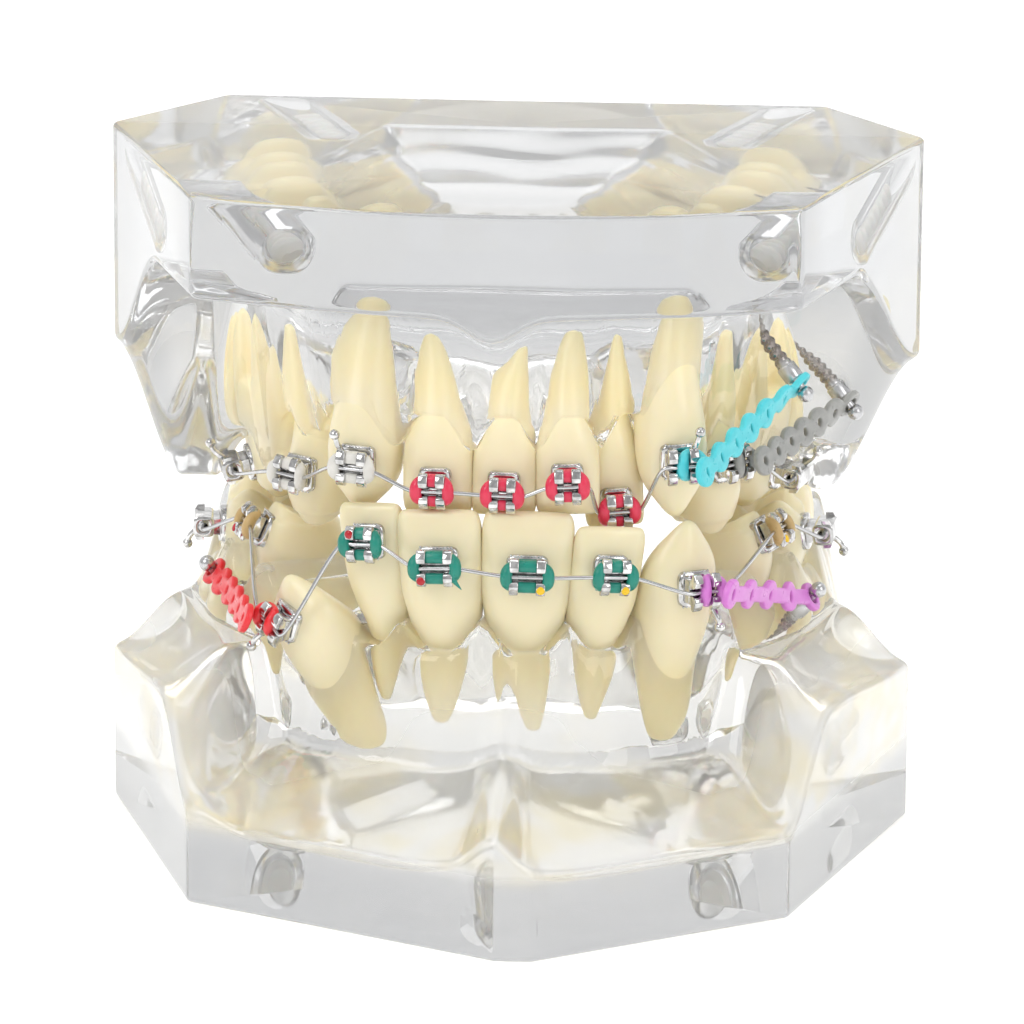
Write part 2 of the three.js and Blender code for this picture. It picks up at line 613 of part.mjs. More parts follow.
function buildChain(name, color, jaw, teeth, toothName, screwName, rings) {
  const item = teeth.find((candidate) => candidate.name === toothName);
  const screw = screws[jaw].find((candidate) => candidate.name === screwName);
  const start = [distalSign(item) * CHAIN_START.along, -CHAIN_START.out, 0];
  const fitting = fittingMatrix(item);
  const from = vector(start).applyMatrix4(fitting);
  const frame = screwFrame(screw);
  const to = vector([0, 0, SCREW_NECK]).applyMatrix4(frame);
  const normals = [
    vector([0, -1, 0]).transformDirection(fitting),
    vector([0, 0, 1]).transformDirection(frame),
  ];
  const look = { color, roughness: 0.3, metalness: 0 };
  place(`${jaw}_${name}`, closed(chainGeometry(from, to, normals, rings)), look);
}

buildJaw('bottom', bottomCast, bottomTeeth, (z) => z);
buildJaw('top', topCast, topTeeth, (z) => HEIGHT - z);
buildChain('chain_left', 0xee3a41, 'bottom', bottomTeeth, 'canine_left', 'screw_left', 6);
buildChain('chain_right', 0xd987d8, 'bottom', bottomTeeth, 'canine_right', 'screw_right', 6);
buildChain('chain_front', 0x4fd3dc, 'top', topTeeth, 'canine_right', 'screw_front', 6);
buildChain('chain_back', 0xa3a3a1, 'top', topTeeth, 'premolar_right', 'screw_back', 6);

export default group;
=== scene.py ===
# Clear acrylic typodont with fixed braces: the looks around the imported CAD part.
# Lengths are in millimetres until a mesh is made. The front of the mouth looks to -Y.
import math

import bmesh
import bpy
import numpy as np
from mathutils import Matrix, Vector


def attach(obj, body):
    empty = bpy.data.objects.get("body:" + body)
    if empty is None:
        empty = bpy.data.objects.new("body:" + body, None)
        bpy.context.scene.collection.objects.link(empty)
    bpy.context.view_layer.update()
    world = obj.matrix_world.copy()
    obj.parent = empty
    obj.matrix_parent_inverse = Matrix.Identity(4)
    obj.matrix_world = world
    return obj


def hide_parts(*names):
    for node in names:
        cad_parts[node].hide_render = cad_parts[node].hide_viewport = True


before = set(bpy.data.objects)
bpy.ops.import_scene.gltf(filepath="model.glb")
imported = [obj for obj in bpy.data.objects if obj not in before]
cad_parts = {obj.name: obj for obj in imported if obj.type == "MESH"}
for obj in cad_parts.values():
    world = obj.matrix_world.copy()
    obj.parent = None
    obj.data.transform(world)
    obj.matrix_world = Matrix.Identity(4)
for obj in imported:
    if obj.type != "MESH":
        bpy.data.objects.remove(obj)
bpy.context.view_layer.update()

MM = 0.001
HEIGHT = 66.0
HALF_DEPTH = 33.0
FOLD_X = 1.3
SPINE = (4.0, 22.0)
SLOT_DEPTH = 1.65


# ---------------------------------------------------------------- curves and meshes
def lerp(a, b, t):
    return a + (b - a) * t


def smooth(value, low, high):
    t = np.clip((value - low) / (high - low), 0, 1)
    return t * t * (3 - 2 * t)


def spline(points, steps):
    """A smooth curve through the points, with so many steps to each span."""
    p = [np.array(q, float) for q in points]
    p = [2 * p[0] - p[1], *p, 2 * p[-1] - p[-2]]
    curve = []
    for a, b, c, d in zip(p, p[1:], p[2:], p[3:]):
        t1 = np.linalg.norm(b - a) ** 0.5
        t2 = t1 + np.linalg.norm(c - b) ** 0.5
        t3 = t2 + np.linalg.norm(d - c) ** 0.5
        for t in np.linspace(t1, t2, steps, endpoint=False):
            ab = lerp(a, b, t / t1)
            bc = lerp(b, c, (t - t1) / (t2 - t1))
            cd = lerp(c, d, (t - t2) / (t3 - t2))
            abc, bcd = lerp(ab, bc, t / t2), lerp(bc, cd, (t - t1) / (t3 - t1))
            curve.append(lerp(abc, bcd, (t - t1) / (t2 - t1)))
    return np.array([*curve, p[-2]])


def even(points, count):
    """The same line with its points evenly spaced."""
    run = np.concatenate([[0], np.cumsum(np.linalg.norm(np.diff(points, axis=0), axis=1))])
    at = np.linspace(0, run[-1], count)
    return np.stack([np.interp(at, run, points[:, k]) for k in range(points.shape[1])], 1)


def add_mesh(name, points, faces, material, sharp=40):
    """A smooth mesh object from points in millimetres; bends of more than sharp degrees stay sharp."""
    mesh = bpy.data.meshes.new(name)
    mesh.from_pydata((np.asarray(points, float) * MM).tolist(), [], faces)
    bm = bmesh.new()
    bm.from_mesh(mesh)
    bmesh.ops.remove_doubles(bm, verts=bm.verts, dist=1e-7)
    bmesh.ops.recalc_face_normals(bm, faces=bm.faces)
    bm.to_mesh(mesh)
    bm.free()
    mesh.validate()
    mesh.shade_smooth()
    mesh.set_sharp_from_angle(angle=math.radians(sharp))
    mesh.materials.append(material)
    obj = bpy.data.objects.new(name, mesh)
    bpy.context.scene.collection.objects.link(obj)
    return obj


def bake_modifiers(obj, sharp=40):
    """The mesh with its modifiers applied takes the place of the first one."""
    evaluated = obj.evaluated_get(bpy.context.evaluated_depsgraph_get())
    mesh = bpy.data.meshes.new_from_object(evaluated)
    obj.modifiers.clear()
    obj.data = mesh
    mesh.shade_smooth()
    mesh.set_sharp_from_angle(angle=math.radians(sharp))
    return obj


def ring_faces(count, sides, closed=False, shift=0):
    """The faces between neighbouring rings, and on from the last ring to the first where closed."""
    faces = []
    for j in range(count if closed else count - 1):
        here = j * sides
        there, turn = (here + sides, 0) if j < count - 1 else (0, shift)
        for i in range(sides):
            k = (i + 1) % sides
            faces.append((here + i, here + k, there + (k + turn) % sides, there + (i + turn) % sides))
    return faces


def loft(rings):
    """Points and faces of a closed skin over rings of the same count, with a pole at either end."""
    rings = np.asarray(rings, float)
    count, sides = rings.shape[:2]
    points = np.concatenate([rings.reshape(-1, 3), rings[0].mean(0)[None], rings[-1].mean(0)[None]])
    first, last = count * sides, count * sides + 1
    faces = ring_faces(count, sides)
    for i in range(sides):
        k = (i + 1) % sides
        faces += [(first, k, i), (last, (count - 1) * sides + i, (count - 1) * sides + k)]
    return points, faces


def merged(parts):
    """Several (points, faces) as one."""
    points, faces, base = [], [], 0
    for p, f in parts:
        points.append(np.asarray(p, float))
        faces += [tuple(v + base for v in face) for face in f]
        base += len(p)
    return np.concatenate(points), faces


def along(path, radius, sides=12, closed=False, flat=1.0):
    """A tube along a path. radius is one number or one for each point; flat squeezes it across."""
    path = np.asarray(path, float)
    radius = np.broadcast_to(radius, len(path))
    step = np.roll(path, -1, 0) - np.roll(path, 1, 0) if closed else np.gradient(path, axis=0)
    tangent = step / np.linalg.norm(step, axis=1)[:, None]
    side = np.cross(tangent[0], [0.3, 0.9, 0.2])
    rings = []
    turn = np.linspace(0, 2 * math.pi, sides, endpoint=False)
    for p, t, r in zip(path, tangent, radius):
        side = side - t * (side @ t)
        side /= np.linalg.norm(side)
        up = np.cross(t, side)
        rings.append(p + r * (np.cos(turn)[:, None] * side + flat * np.sin(turn)[:, None] * up))
    if not closed:
        return loft(rings)
    # the last ring meets the first turned by as much as the rings have turned on the way round
    shift = int(np.argmin(np.linalg.norm(rings[0] - rings[-1][0], axis=1)))
    return np.concatenate(rings), ring_faces(len(rings), sides, True, shift)


def turned(profile, sides=32, thread=None):
    """A turned solid from (radius, height) points; thread is (pitch, depth, from, to)."""
    turn = np.linspace(0, 2 * math.pi, sides, endpoint=False)
    rings = []
    for radius, level in profile:
        r = np.full(sides, float(radius))
        if thread and radius > 0:
            pitch, depth, low, high = thread
            wave = 0.5 - 0.5 * np.cos(2 * math.pi * (level / pitch) - turn)
            ends = smooth(level, low, low + 0.4) * (1 - smooth(level, high - 0.4, high))
            cut = depth * wave ** 1.5 * ends
            r = np.maximum(r - cut, 0.3 * r)
        rings.append(np.stack([r * np.cos(turn), r * np.sin(turn), np.full(sides, float(level))], 1))
    return loft(rings)


def refined(profile, step):
    """A profile with its long runs cut up so that no point is further than step from the next."""
    points = [np.array(profile[0], float)]
    for a, b in zip(profile, profile[1:]):
        a, b = np.array(a, float), np.array(b, float)
        cuts = max(1, math.ceil(np.linalg.norm(b - a) / step))
        points += [lerp(a, b, (k + 1) / cuts) for k in range(cuts)]
    return points


def place(obj, jaw, matrix=None, node=None):
    """Hands a piece over to the frame, in place of a CAD node where one is named."""
    if matrix is not None:
        obj.matrix_world = matrix
    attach(obj, f"{jaw}_jaw")
    if node:
        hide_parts(f"{jaw}_{node}")


def matrix_of(across, inward, up, origin):
    m = Matrix.Identity(4)
    for k, axis in enumerate((across, inward, up)):
        for row in range(3):
            m[row][k] = axis[row]
    for row in range(3):
        m[row][3] = origin[row] * MM
    return m


def moved(matrix, point):
    """A point in millimetres through a matrix that works in metres."""
    return np.array(matrix @ (Vector(point) * MM)) / MM


# ---------------------------------------------------------------- materials
def srgb(r, g, b):
    def linear(c):
        c /= 255
        return c / 12.92 if c <= 0.04045 else ((c + 0.055) / 1.055) ** 2.4
    return (linear(r), linear(g), linear(b), 1)


# Most of a noise texture lies between these two values.
NOISE_SPREAD = (0.3, 0.7)
# Heights in metres, on a tooth and on a screw, where its root or its shank fades into the rest.
NECK_FADE, SHANK_FADE = (-0.0045, 0.0008), (0.0058, 0.0068)


class Look:
    """A Principled material with its own small helpers."""

    def __init__(self, name, **constants):
        self.material = bpy.data.materials.new(name)
        self.material.use_nodes = True
        self.tree = self.material.node_tree
        self.tree.nodes.clear()
        self.output = self.tree.nodes.new("ShaderNodeOutputMaterial")
        self.shader = self.tree.nodes.new("ShaderNodeBsdfPrincipled")
        self.link(self.shader.outputs[0], self.output.inputs["Surface"])
        self.coords = self.tree.nodes.new("ShaderNodeTexCoord").outputs["Object"]
        for socket, value in constants.items():
            self.shader.inputs[socket.replace("_", " ")].default_value = value

    def link(self, a, b):
        self.tree.links.new(a, b)

    def axes(self):
        """The object's own x, y and z."""
        node = self.tree.nodes.new("ShaderNodeSeparateXYZ")
        self.link(self.coords, node.inputs[0])
        return node.outputs

    def maths(self, operation, a, b):
        node = self.tree.nodes.new("ShaderNodeMath")
        node.operation = operation
        self.link(a, node.inputs[0])
        self.link(b, node.inputs[1])
        return node.outputs[0]

    def noise(self, scale, detail=3.0, stretch=None):
        node = self.tree.nodes.new("ShaderNodeTexNoise")
        node.inputs["Scale"].default_value = scale
        node.inputs["Detail"].default_value = detail
        self.link(self.stretched(stretch), node.inputs["Vector"])
        return node.outputs[0]

    def stretched(self, scale):
        if scale is None:
            return self.coords
        node = self.tree.nodes.new("ShaderNodeMapping")
        node.inputs["Scale"].default_value = scale
        self.link(self.coords, node.inputs["Vector"])
        return node.outputs[0]

    def ranged(self, value, low, high, to_low=0.0, to_high=1.0, kind="SMOOTHSTEP"):
        node = self.tree.nodes.new("ShaderNodeMapRange")
        node.interpolation_type = kind
        for k, number in enumerate((low, high, to_low, to_high)):
            node.inputs[k + 1].default_value = number
        self.link(value, node.inputs[0])
        return node.outputs[0]

    def fading(self, value, low, high):
        return self.ranged(value, low, high, 1.0, 0.0)

    def mixed(self, factor, a, b):
        node = self.tree.nodes.new("ShaderNodeMix")
        node.data_type = "RGBA"
        self.link(factor, node.inputs[0])
        for value, socket in ((a, node.inputs[6]), (b, node.inputs[7])):
            if isinstance(value, tuple):
                socket.default_value = value
            else:
                self.link(value, socket)
        return node.outputs[2]

    def colour(self, output):
        self.link(output, self.shader.inputs["Base Color"])

    def roughness(self, value, low, high):
        self.link(self.ranged(value, *NOISE_SPREAD, low, high, "LINEAR"), self.shader.inputs["Roughness"])

    def bump(self, value, strength, distance):
        node = self.tree.nodes.new("ShaderNodeBump")
        node.inputs["Strength"].default_value = strength
        node.inputs["Distance"].default_value = distance
        self.link(value, node.inputs["Height"])
        self.link(node.outputs[0], self.shader.inputs["Normal"])


# Shares of the acrylic that let light straight through, from clear resin to the hazy shelf.
CLEAR_SHARE, THICK_SHARE, SHELF_SHARE = 0.94, 0.86, 0.66
CLEAR_TINT = (0.95, 0.945, 0.925, 1)
# Tints of the thick bases and walls, mottled by noise: partly the resin's own tint and partly painted shade.
THICK_TINTS_AND_SHADE = (0.64, 0.65, 0.665, 1), (0.71, 0.715, 0.72, 1)
# Painted shade, laid on the top front and the left flank of the resin.
PAINTED_SHADE_TINT = (0.5, 0.505, 0.515, 1)
SHELF_TINTS = (0.93, 0.925, 0.9, 1), (0.96, 0.9, 0.72, 1)
# Distance from the middle on this scale is about 1 at the rim of the casts.
OUTLINE_SCALE = (26.5, 29.5, 0)
THICK_RIM, SHELF_RIM = (0.86, 0.99), (0.63, 0.73)
# Where the looks of the acrylic fade into each other, in metres: heights, depths and the left flank. The
# last row places the painted shade, darker on the top front and on the left flank.
BOTTOM_BASE, TOP_BASE, TOP_FACE = (0.0045, 0.0115), (0.046, 0.057), (0.0655, 0.0659)
SHELF_FOOT, SHELF_TOP, SHELF_FRONT = (0.0065, 0.0085), (0.017, 0.024), (-0.0165, -0.0115)
SHADE_TOP, SHADE_FRONT, SHADE_LEFT = (0.052, 0.0565), (-0.011, -0.005), (-0.039, -0.034)


def acrylic():
    """Water-clear resin, greyer where it is thick, partly as its own tint and partly as painted shade, with
    more painted shade on the top front and the left flank, and hazy on the polished shelf.

    Lamps shine straight through it, so that they reach what is inside."""
    look = Look("clear_acrylic", IOR=1.49)
    x, y, z = look.axes()
    node = look.tree.nodes.new("ShaderNodeVectorMath")
    node.operation = "LENGTH"
    look.link(look.stretched(OUTLINE_SCALE), node.inputs[0])
    rim = node.outputs["Value"]

    bases = look.maths("MAXIMUM", look.fading(z, *BOTTOM_BASE), look.ranged(z, *TOP_BASE))
    thick = look.maths("MAXIMUM", bases, look.ranged(rim, *THICK_RIM))
    outside = look.maths("MAXIMUM", look.fading(y, *SHELF_FRONT), look.ranged(rim, *SHELF_RIM))
    low = look.maths("MULTIPLY", outside, look.fading(z, *SHELF_TOP))
    shelf = look.maths("MULTIPLY", low, look.ranged(z, *SHELF_FOOT))
    # The mask of painted shade: darker on the top front of the top cast and on the left flank.
    front_top_shade = look.maths("MULTIPLY", look.fading(y, *SHADE_FRONT), look.ranged(z, *SHADE_TOP))
    darker = look.maths("MAXIMUM", front_top_shade, look.fading(x, *SHADE_LEFT))
    top_face = look.ranged(z, *TOP_FACE)

    cloud = look.ranged(look.noise(28.0, 2.0), 0.35, 0.65)
    streak = look.ranged(look.noise(110.0, 2.0, stretch=(1, 1, 1.6)), 0.42, 0.66)
    # The thick parts are greyer, partly from the resin's own tint and partly as painted shade; the painted
    # shade mask darkens them further.
    tint = look.mixed(darker, look.mixed(cloud, *THICK_TINTS_AND_SHADE), PAINTED_SHADE_TINT)
    tint = look.mixed(thick, CLEAR_TINT, tint)
    look.colour(look.mixed(shelf, tint, look.mixed(streak, *SHELF_TINTS)))
    share = look.maths("MINIMUM", look.ranged(thick, 0, 1, CLEAR_SHARE, THICK_SHARE, "LINEAR"),
                       look.ranged(shelf, 0, 1, CLEAR_SHARE, SHELF_SHARE, "LINEAR"))
    look.link(share, look.shader.inputs["Transmission Weight"])
    dull = look.ranged(look.maths("MAXIMUM", shelf, top_face), 0, 1, 0.0, 0.07, "LINEAR")
    polish = look.ranged(look.noise(160.0, 2.0), *NOISE_SPREAD, 0.0, 0.035, "LINEAR")
    look.link(look.maths("ADD", polish, dull), look.shader.inputs["Roughness"])
    look.bump(look.noise(60.0, 0.0, stretch=(1, 1, 0.15)), 0.03, 0.0006)

    path = look.tree.nodes.new("ShaderNodeLightPath")
    clear = look.tree.nodes.new("ShaderNodeBsdfTransparent")
    clear.inputs[0].default_value = (0.985, 0.985, 0.98, 1)
    mix = look.tree.nodes.new("ShaderNodeMixShader")
    look.link(path.outputs["Is Shadow Ray"], mix.inputs[0])
    look.link(look.shader.outputs[0], mix.inputs[1])
    look.link(clear.outputs[0], mix.inputs[2])
    look.link(mix.outputs[0], look.output.inputs["Surface"])
    return look.material


def ivory():
    """Resin tooth: pale crown, and a yellower root that is also painted lighter than the crown to make up
    for the shade it gets inside the resin. A tooth's own z is 0 at the neck.
    """
    look = Look("tooth_ivory", Coat_Weight=0.25, Coat_Roughness=0.12, IOR=1.5,
                Subsurface_Weight=0.3, Subsurface_Radius=(1.0, 0.7, 0.3), Subsurface_Scale=0.002)
    blotch = look.noise(260.0, 2.0)
    crown = look.mixed(blotch, srgb(232, 219, 180), srgb(238, 228, 194))
    # painted light: the root is yellower, and lighter than the crown to make up for the shade it gets inside
    # the resin
    root = look.mixed(blotch, srgb(243, 225, 166), srgb(248, 235, 186))
    look.colour(look.mixed(look.ranged(look.axes()[2], *NECK_FADE), root, crown))
    look.roughness(look.noise(700.0), 0.28, 0.36)
    look.bump(look.noise(900.0, 3.0, stretch=(1, 1, 0.6)), 0.05, 0.0002)
    return look.material


def steel(name, tint, low, high, grain, deep=0.85, shank=None):
    """Polished steel with painted dark reflections: noise mottles the tint with a copy darkened by deep.
    shank is the duller tint of a screw below its collar.
    """
    look = Look(name, Metallic=1.0)
    # painted reflection: the darker copy of the tint stands in for reflections of a dark room
    shadow = (*(deep * c for c in tint[:3]), 1)
    metal = look.mixed(look.ranged(look.noise(900.0), 0.35, 0.65), shadow, tint)
    if shank:
        metal = look.mixed(look.ranged(look.axes()[2], *SHANK_FADE), shank, metal)
    look.colour(metal)
    look.roughness(look.noise(1400.0, 3.0, stretch=grain), low, high)
    look.bump(look.noise(2200.0, 3.0, stretch=grain), 0.1, 0.00006)
    return look.material


def rubber(name, colour, deep, gloss=(0.25, 0.42)):
    """Moulded elastomer, a little see-through at its edges."""
    look = Look(name, Subsurface_Weight=0.2, Subsurface_Radius=(1, 1, 1), Subsurface_Scale=0.0006, IOR=1.5,
                Coat_Weight=0.15, Coat_Roughness=0.2)
    look.colour(look.mixed(look.noise(1100.0), deep, colour))
    look.roughness(look.noise(1600.0), *gloss)
    look.bump(look.noise(2600.0, 2.0), 0.15, 0.00008)
    return look.material


def nylon():
    look = Look("nylon_white", Subsurface_Weight=0.15, Subsurface_Scale=0.001)
    look.colour(look.mixed(look.noise(500.0), srgb(238, 235, 226), srgb(252, 250, 244)))
    look.roughness(look.noise(900.0), 0.35, 0.55)
    look.bump(look.noise(1800.0), 0.15, 0.0001)
    return look.material


def paper():
    look = Look("floor_white", Emission_Color=(1, 1, 1, 1), Emission_Strength=0.22)
    look.colour(look.mixed(look.noise(3.0), (0.9, 0.9, 0.9, 1), (0.93, 0.93, 0.925, 1)))
    look.roughness(look.noise(40.0), 0.75, 0.9)
    look.bump(look.noise(400.0), 0.05, 0.0002)
    return look.material


CLEAR = acrylic()
IVORY = ivory()
# deep, after grain, or 0.85 where it is left out, is how dark each steel's painted reflections are
BRACKET_STEEL = steel("bracket_steel", (0.8, 0.795, 0.79, 1), 0.06, 0.16, (1, 1, 1), 0.6)
WIRE_STEEL = steel("wire_steel", (0.6, 0.6, 0.61, 1), 0.14, 0.26, (1, 1, 1), 0.92)
SCREW_STEEL = steel("screw_steel", (0.66, 0.66, 0.67, 1), 0.2, 0.36, (1, 1, 0.2),
                    shank=(0.3, 0.27, 0.25, 1))
NYLON = nylon()
ELASTICS = {colour: rubber(name, srgb(*pale), srgb(*deep)) for colour, name, pale, deep in (
    ("red", "elastic_red", (238, 52, 58), (214, 34, 44)),
    ("violet", "elastic_violet", (222, 138, 218), (202, 112, 198)),
    ("cyan", "elastic_cyan", (92, 216, 224), (62, 192, 204)),
    ("grey", "elastic_grey", (172, 172, 168), (140, 140, 138)),
    ("pink", "ligature_pink", (232, 60, 92), (204, 36, 70)),
    ("green", "ligature_green", (20, 148, 128), (8, 116, 102)),
    ("white", "ligature_white", (228, 226, 220), (204, 201, 194)),
    ("amber", "ligature_amber", (208, 180, 126), (184, 150, 94)))}


# ---------------------------------------------------------------- teeth: where they stand
# Name, tip, apex, yaw in degrees, (width, depth, crown height), fitting, its height, its roll
BOTTOM_TEETH = [
    ("molar2_left", (-23.8, 26.5, 31), (-23.4, 25.8, 13), -88, (9, 10, 7), None, 0, 0),
    ("molar1_left", (-23, 16.6, 31.2), (-22.6, 16.4, 12.5), -84, (9.8, 10.4, 7.2), "tube", 27.4, 0),
    ("premolar_left", (-19.7, 7.6, 31.6), (-18.8, 7, 14.5), -72, (6.8, 9, 7.8), "bracket", 29.8, 0),
    ("canine_left", (-19.2, -9.6, 29.4), (-10.6, -5.6, 12), -48, (7.8, 7.8, 9.5), "hook", 26.6, 30),
    ("lateral_left", (-11.6, -10.6, 36.9), (-8.6, -6.6, 17), -18, (6, 6.2, 10.5), "bracket", 34, 0),
    ("central_left", (-5.1, -12.4, 36.9), (-3.9, -7.8, 15.2), -5, (7.5, 7, 11.5), "bracket", 32.6, 0),
    ("central_right", (3.3, -12.4, 36.9), (2.3, -7.8, 14.6), 4, (8.2, 7, 11.5), "bracket", 32, 0),
    ("lateral_right", (10.9, -11.6, 35.4), (7.6, -6.8, 15.6), 18, (6.4, 6.2, 10.5), "bracket", 31.9, 0),
    ("canine_right", (17.9, -9, 35.4), (13.6, -5, 13.2), 36, (7.2, 8, 12.5), "hook", 30.2, 0),
    ("premolar_right", (21.2, 7.6, 31.8), (19.8, 7, 14.5), 72, (6.8, 9, 7.8), "bracket", 30.4, 0),
    ("molar1_right", (23.4, 16.6, 31.2), (22.8, 16.4, 12.5), 84, (9.8, 10.4, 7.2), "tube", 28, 0),
    ("molar2_right", (24, 26.5, 31), (23.6, 25.8, 13), 88, (9, 10, 7), None, 0, 0),
]
TOP_TEETH = [
    ("molar2_left", (-22.2, 23.6, 32), (-22.2, 24, 49.5), -84, (10, 9.6, 6.2), None, 0, 0),
    ("molar1_left", (-20.2, 12.6, 32), (-20.4, 12.8, 50.5), -78, (10.6, 10, 6.4), "tube", 34.6, 0),
    ("premolar_left", (-16.8, 2.2, 32), (-16.6, 2.4, 51.5), -36, (6.8, 7.8, 7.4), "bracket", 37, 0),
    ("canine_left", (-12.6, -8.2, 35.6), (-11, -4, 56), -12, (7, 7.8, 10.8), "hook", 40, 0),
    ("incisor2_left", (-5.3, -10.2, 36), (-5.1, -6.6, 53.4), -6, (6.2, 6, 8.8), "bracket", 38.6, 0),
    ("incisor1_left", (0.8, -10.5, 36), (1.2, -6.8, 52.4), 0, (5.7, 6, 8.8), "bracket", 38.4, 0),
    ("incisor1_right", (6.8, -10.4, 36.2), (5.9, -6.2, 54), 4, (5.6, 6, 8.8), "bracket", 39.2, 0),
    ("incisor2_right", (11, -6.8, 34.2), (9.4, -3.4, 53), 12, (5.2, 5.6, 8.8), "bracket", 36.2, 0),
    ("canine_right", (16.6, -8, 35.6), (14.8, -3.4, 56.5), 16, (6.4, 7.6, 12.4), "hook", 40.6, 0),
    ("premolar_right", (18.5, 2.2, 32), (18, 2.6, 51.5), 46, (6.8, 7.8, 7.4), "bracket", 38.6, 0),
    ("molar1_right", (21, 12.8, 32), (20.8, 13, 50.5), 74, (10.6, 10, 6.4), "tube", 34.9, 0),
    ("molar2_right", (22.6, 23.8, 32), (22.4, 24.2, 49.5), 84, (10, 9.6, 6.2), None, 0, 0),
]
# Half depth of the outer face, as a share of the tooth's depth, at shares of the crown's height.
CHEEK = {
    "incisor": [(-0.55, 0.55), (0, 0.86), (0.35, 0.86), (0.7, 0.58), (0.97, 0.24)],
    "canine": [(-0.55, 0.7), (0, 0.92), (0.35, 0.94), (0.66, 0.66), (0.9, 0.3)],
    "premolar": [(-0.5, 0.66), (0, 0.88), (0.45, 1), (0.82, 0.8), (1, 0.52)],
    "molar": [(-0.5, 0.76), (0, 0.9), (0.4, 1), (0.82, 0.9), (1, 0.64)],
}
PAD_REACH = 1.4
PAD_GAP = 0.3


class Tooth:
    """Where a tooth stands and how big it is; its own z runs from the neck to the tip."""

    def __init__(self, jaw, row):
        self.name, tip, apex, yaw, size, self.fitting, self.fitting_z, roll = row
        self.jaw = jaw
        kind = self.name.split("_")[0].rstrip("12")
        self.shape = "incisor" if kind in ("central", "lateral") else kind
        self.tip, self.apex = np.array(tip, float), np.array(apex, float)
        self.width, self.depth, self.crown = size
        self.yaw, self.roll = math.radians(yaw), math.radians(roll)
        length = np.linalg.norm(self.tip - self.apex)
        self.up = (self.tip - self.apex) / length
        self.neck = self.tip - self.up * self.crown
        self.root = length - self.crown
        facing = np.array([math.sin(self.yaw), -math.cos(self.yaw), 0])
        across = np.cross(self.up, facing)
        self.across = across / np.linalg.norm(across)
        self.inward = np.cross(self.up, self.across)
        self.distal = math.copysign(1, self.tip[0]) * math.copysign(1, self.up[2])
        self.matrix = matrix_of(self.across, self.inward, self.up, self.neck)

    def cheek(self, level):
        levels, depths = zip(*CHEEK[self.shape])
        return float(np.interp(level, levels, depths)) * self.depth / 2

    def fitting_matrix(self):
        """The middle of the pad of the bracket or tube, lying on the slope of the outer face."""
        level = (self.fitting_z - self.neck[2]) / self.up[2]
        depths = [self.cheek((level + end * PAD_REACH) / self.crown) for end in (-1, 0, 1)]
        slope = (depths[2] - depths[0]) / (2 * PAD_REACH)
        proud = max(depths[1], (depths[0] + depths[2]) / 2) + PAD_GAP
        base = matrix_of(self.across, self.inward, self.up, self.neck + self.up * level)
        return (base @ Matrix.Translation((0, -proud * MM, 0))
                @ Matrix.Rotation(math.atan(slope), 4, "X") @ Matrix.Rotation(self.roll, 4, "Y"))


TEETH = {"bottom": [Tooth("bottom", row) for row in BOTTOM_TEETH],
         "top": [Tooth("top", row) for row in TOP_TEETH]}


# ---------------------------------------------------------------- casts
class Arch:
    """The middle line of the ridge, with where each tooth stands along it."""

    def __init__(self, side, teeth):
        left = [(-x, y) for x, y in side[:0:-1]]
        self.line = even(spline([*left, *side], 24), 700)
        self.run = np.linspace(0, 1, 700) * np.linalg.norm(np.diff(self.line, axis=0), axis=1).sum()
        self.teeth = []
        for tooth in teeth:
            at = tooth.neck[:2]
            k = int(np.argmin(np.linalg.norm(self.line - at, axis=1)))
            out = 1.0 if tooth.shape == "canine" else 0.7
            self.teeth.append((self.run[k], tooth.width / 2, out))

    def around(self, x, y):
        """Distance outward from the line, the gum's rise between teeth and its swell over roots."""
        flat = np.stack([x.ravel(), y.ravel()], 1)
        distance, nearest = [], []
        for chunk in np.array_split(flat, max(1, len(flat) // 4000)):
            d = np.linalg.norm(chunk[:, None] - self.line[None], axis=2)
            k = d.argmin(1)
            distance.append(d[np.arange(len(chunk)), k])
            nearest.append(k)
        distance, k = np.concatenate(distance), np.concatenate(nearest)
        near = self.line[k]
        centre = np.clip(near[:, 1], *SPINE)
        outward = near[:, 0] * (flat[:, 0] - near[:, 0]) + (near[:, 1] - centre) * (flat[:, 1] - near[:, 1])
        distance = np.where(outward < 0, -distance, distance).reshape(x.shape)
        run = self.run[k].reshape(x.shape)
        away, swell = np.full(x.shape, 9.0), np.zeros(x.shape)
        for at, half, out in self.teeth:
            q = np.abs(run - at) / half
            away = np.minimum(away, q)
            swell = np.maximum(swell, out * np.exp(-((q * 1.15) ** 2)))
        rise = smooth(away, 0.25, 1.0) * (1 - 0.7 * smooth(away, 1.15, 2.0))
        return distance, rise, swell


def ripple(x, y):
    """The unevenness that hand polishing leaves in the hollows."""
    across = 0.05 * np.sin(x * 0.43 + 1.1 * np.sin(y * 0.31))
    return across + 0.04 * np.sin(y * 0.57 + 0.9 * np.sin(x * 0.37 + 1.0))


BOTTOM_ARCH = Arch([(0, -10.2), (8, -8.8), (14.5, -4), (18.6, 3), (21.3, 10), (23, 20), (24, 31)],
                   TEETH["bottom"])
TOP_ARCH = Arch([(0, -8.4), (7, -7.6), (13, -4.4), (17, 2.5), (20, 11), (22, 20), (23.4, 30.5)],
                TEETH["top"])


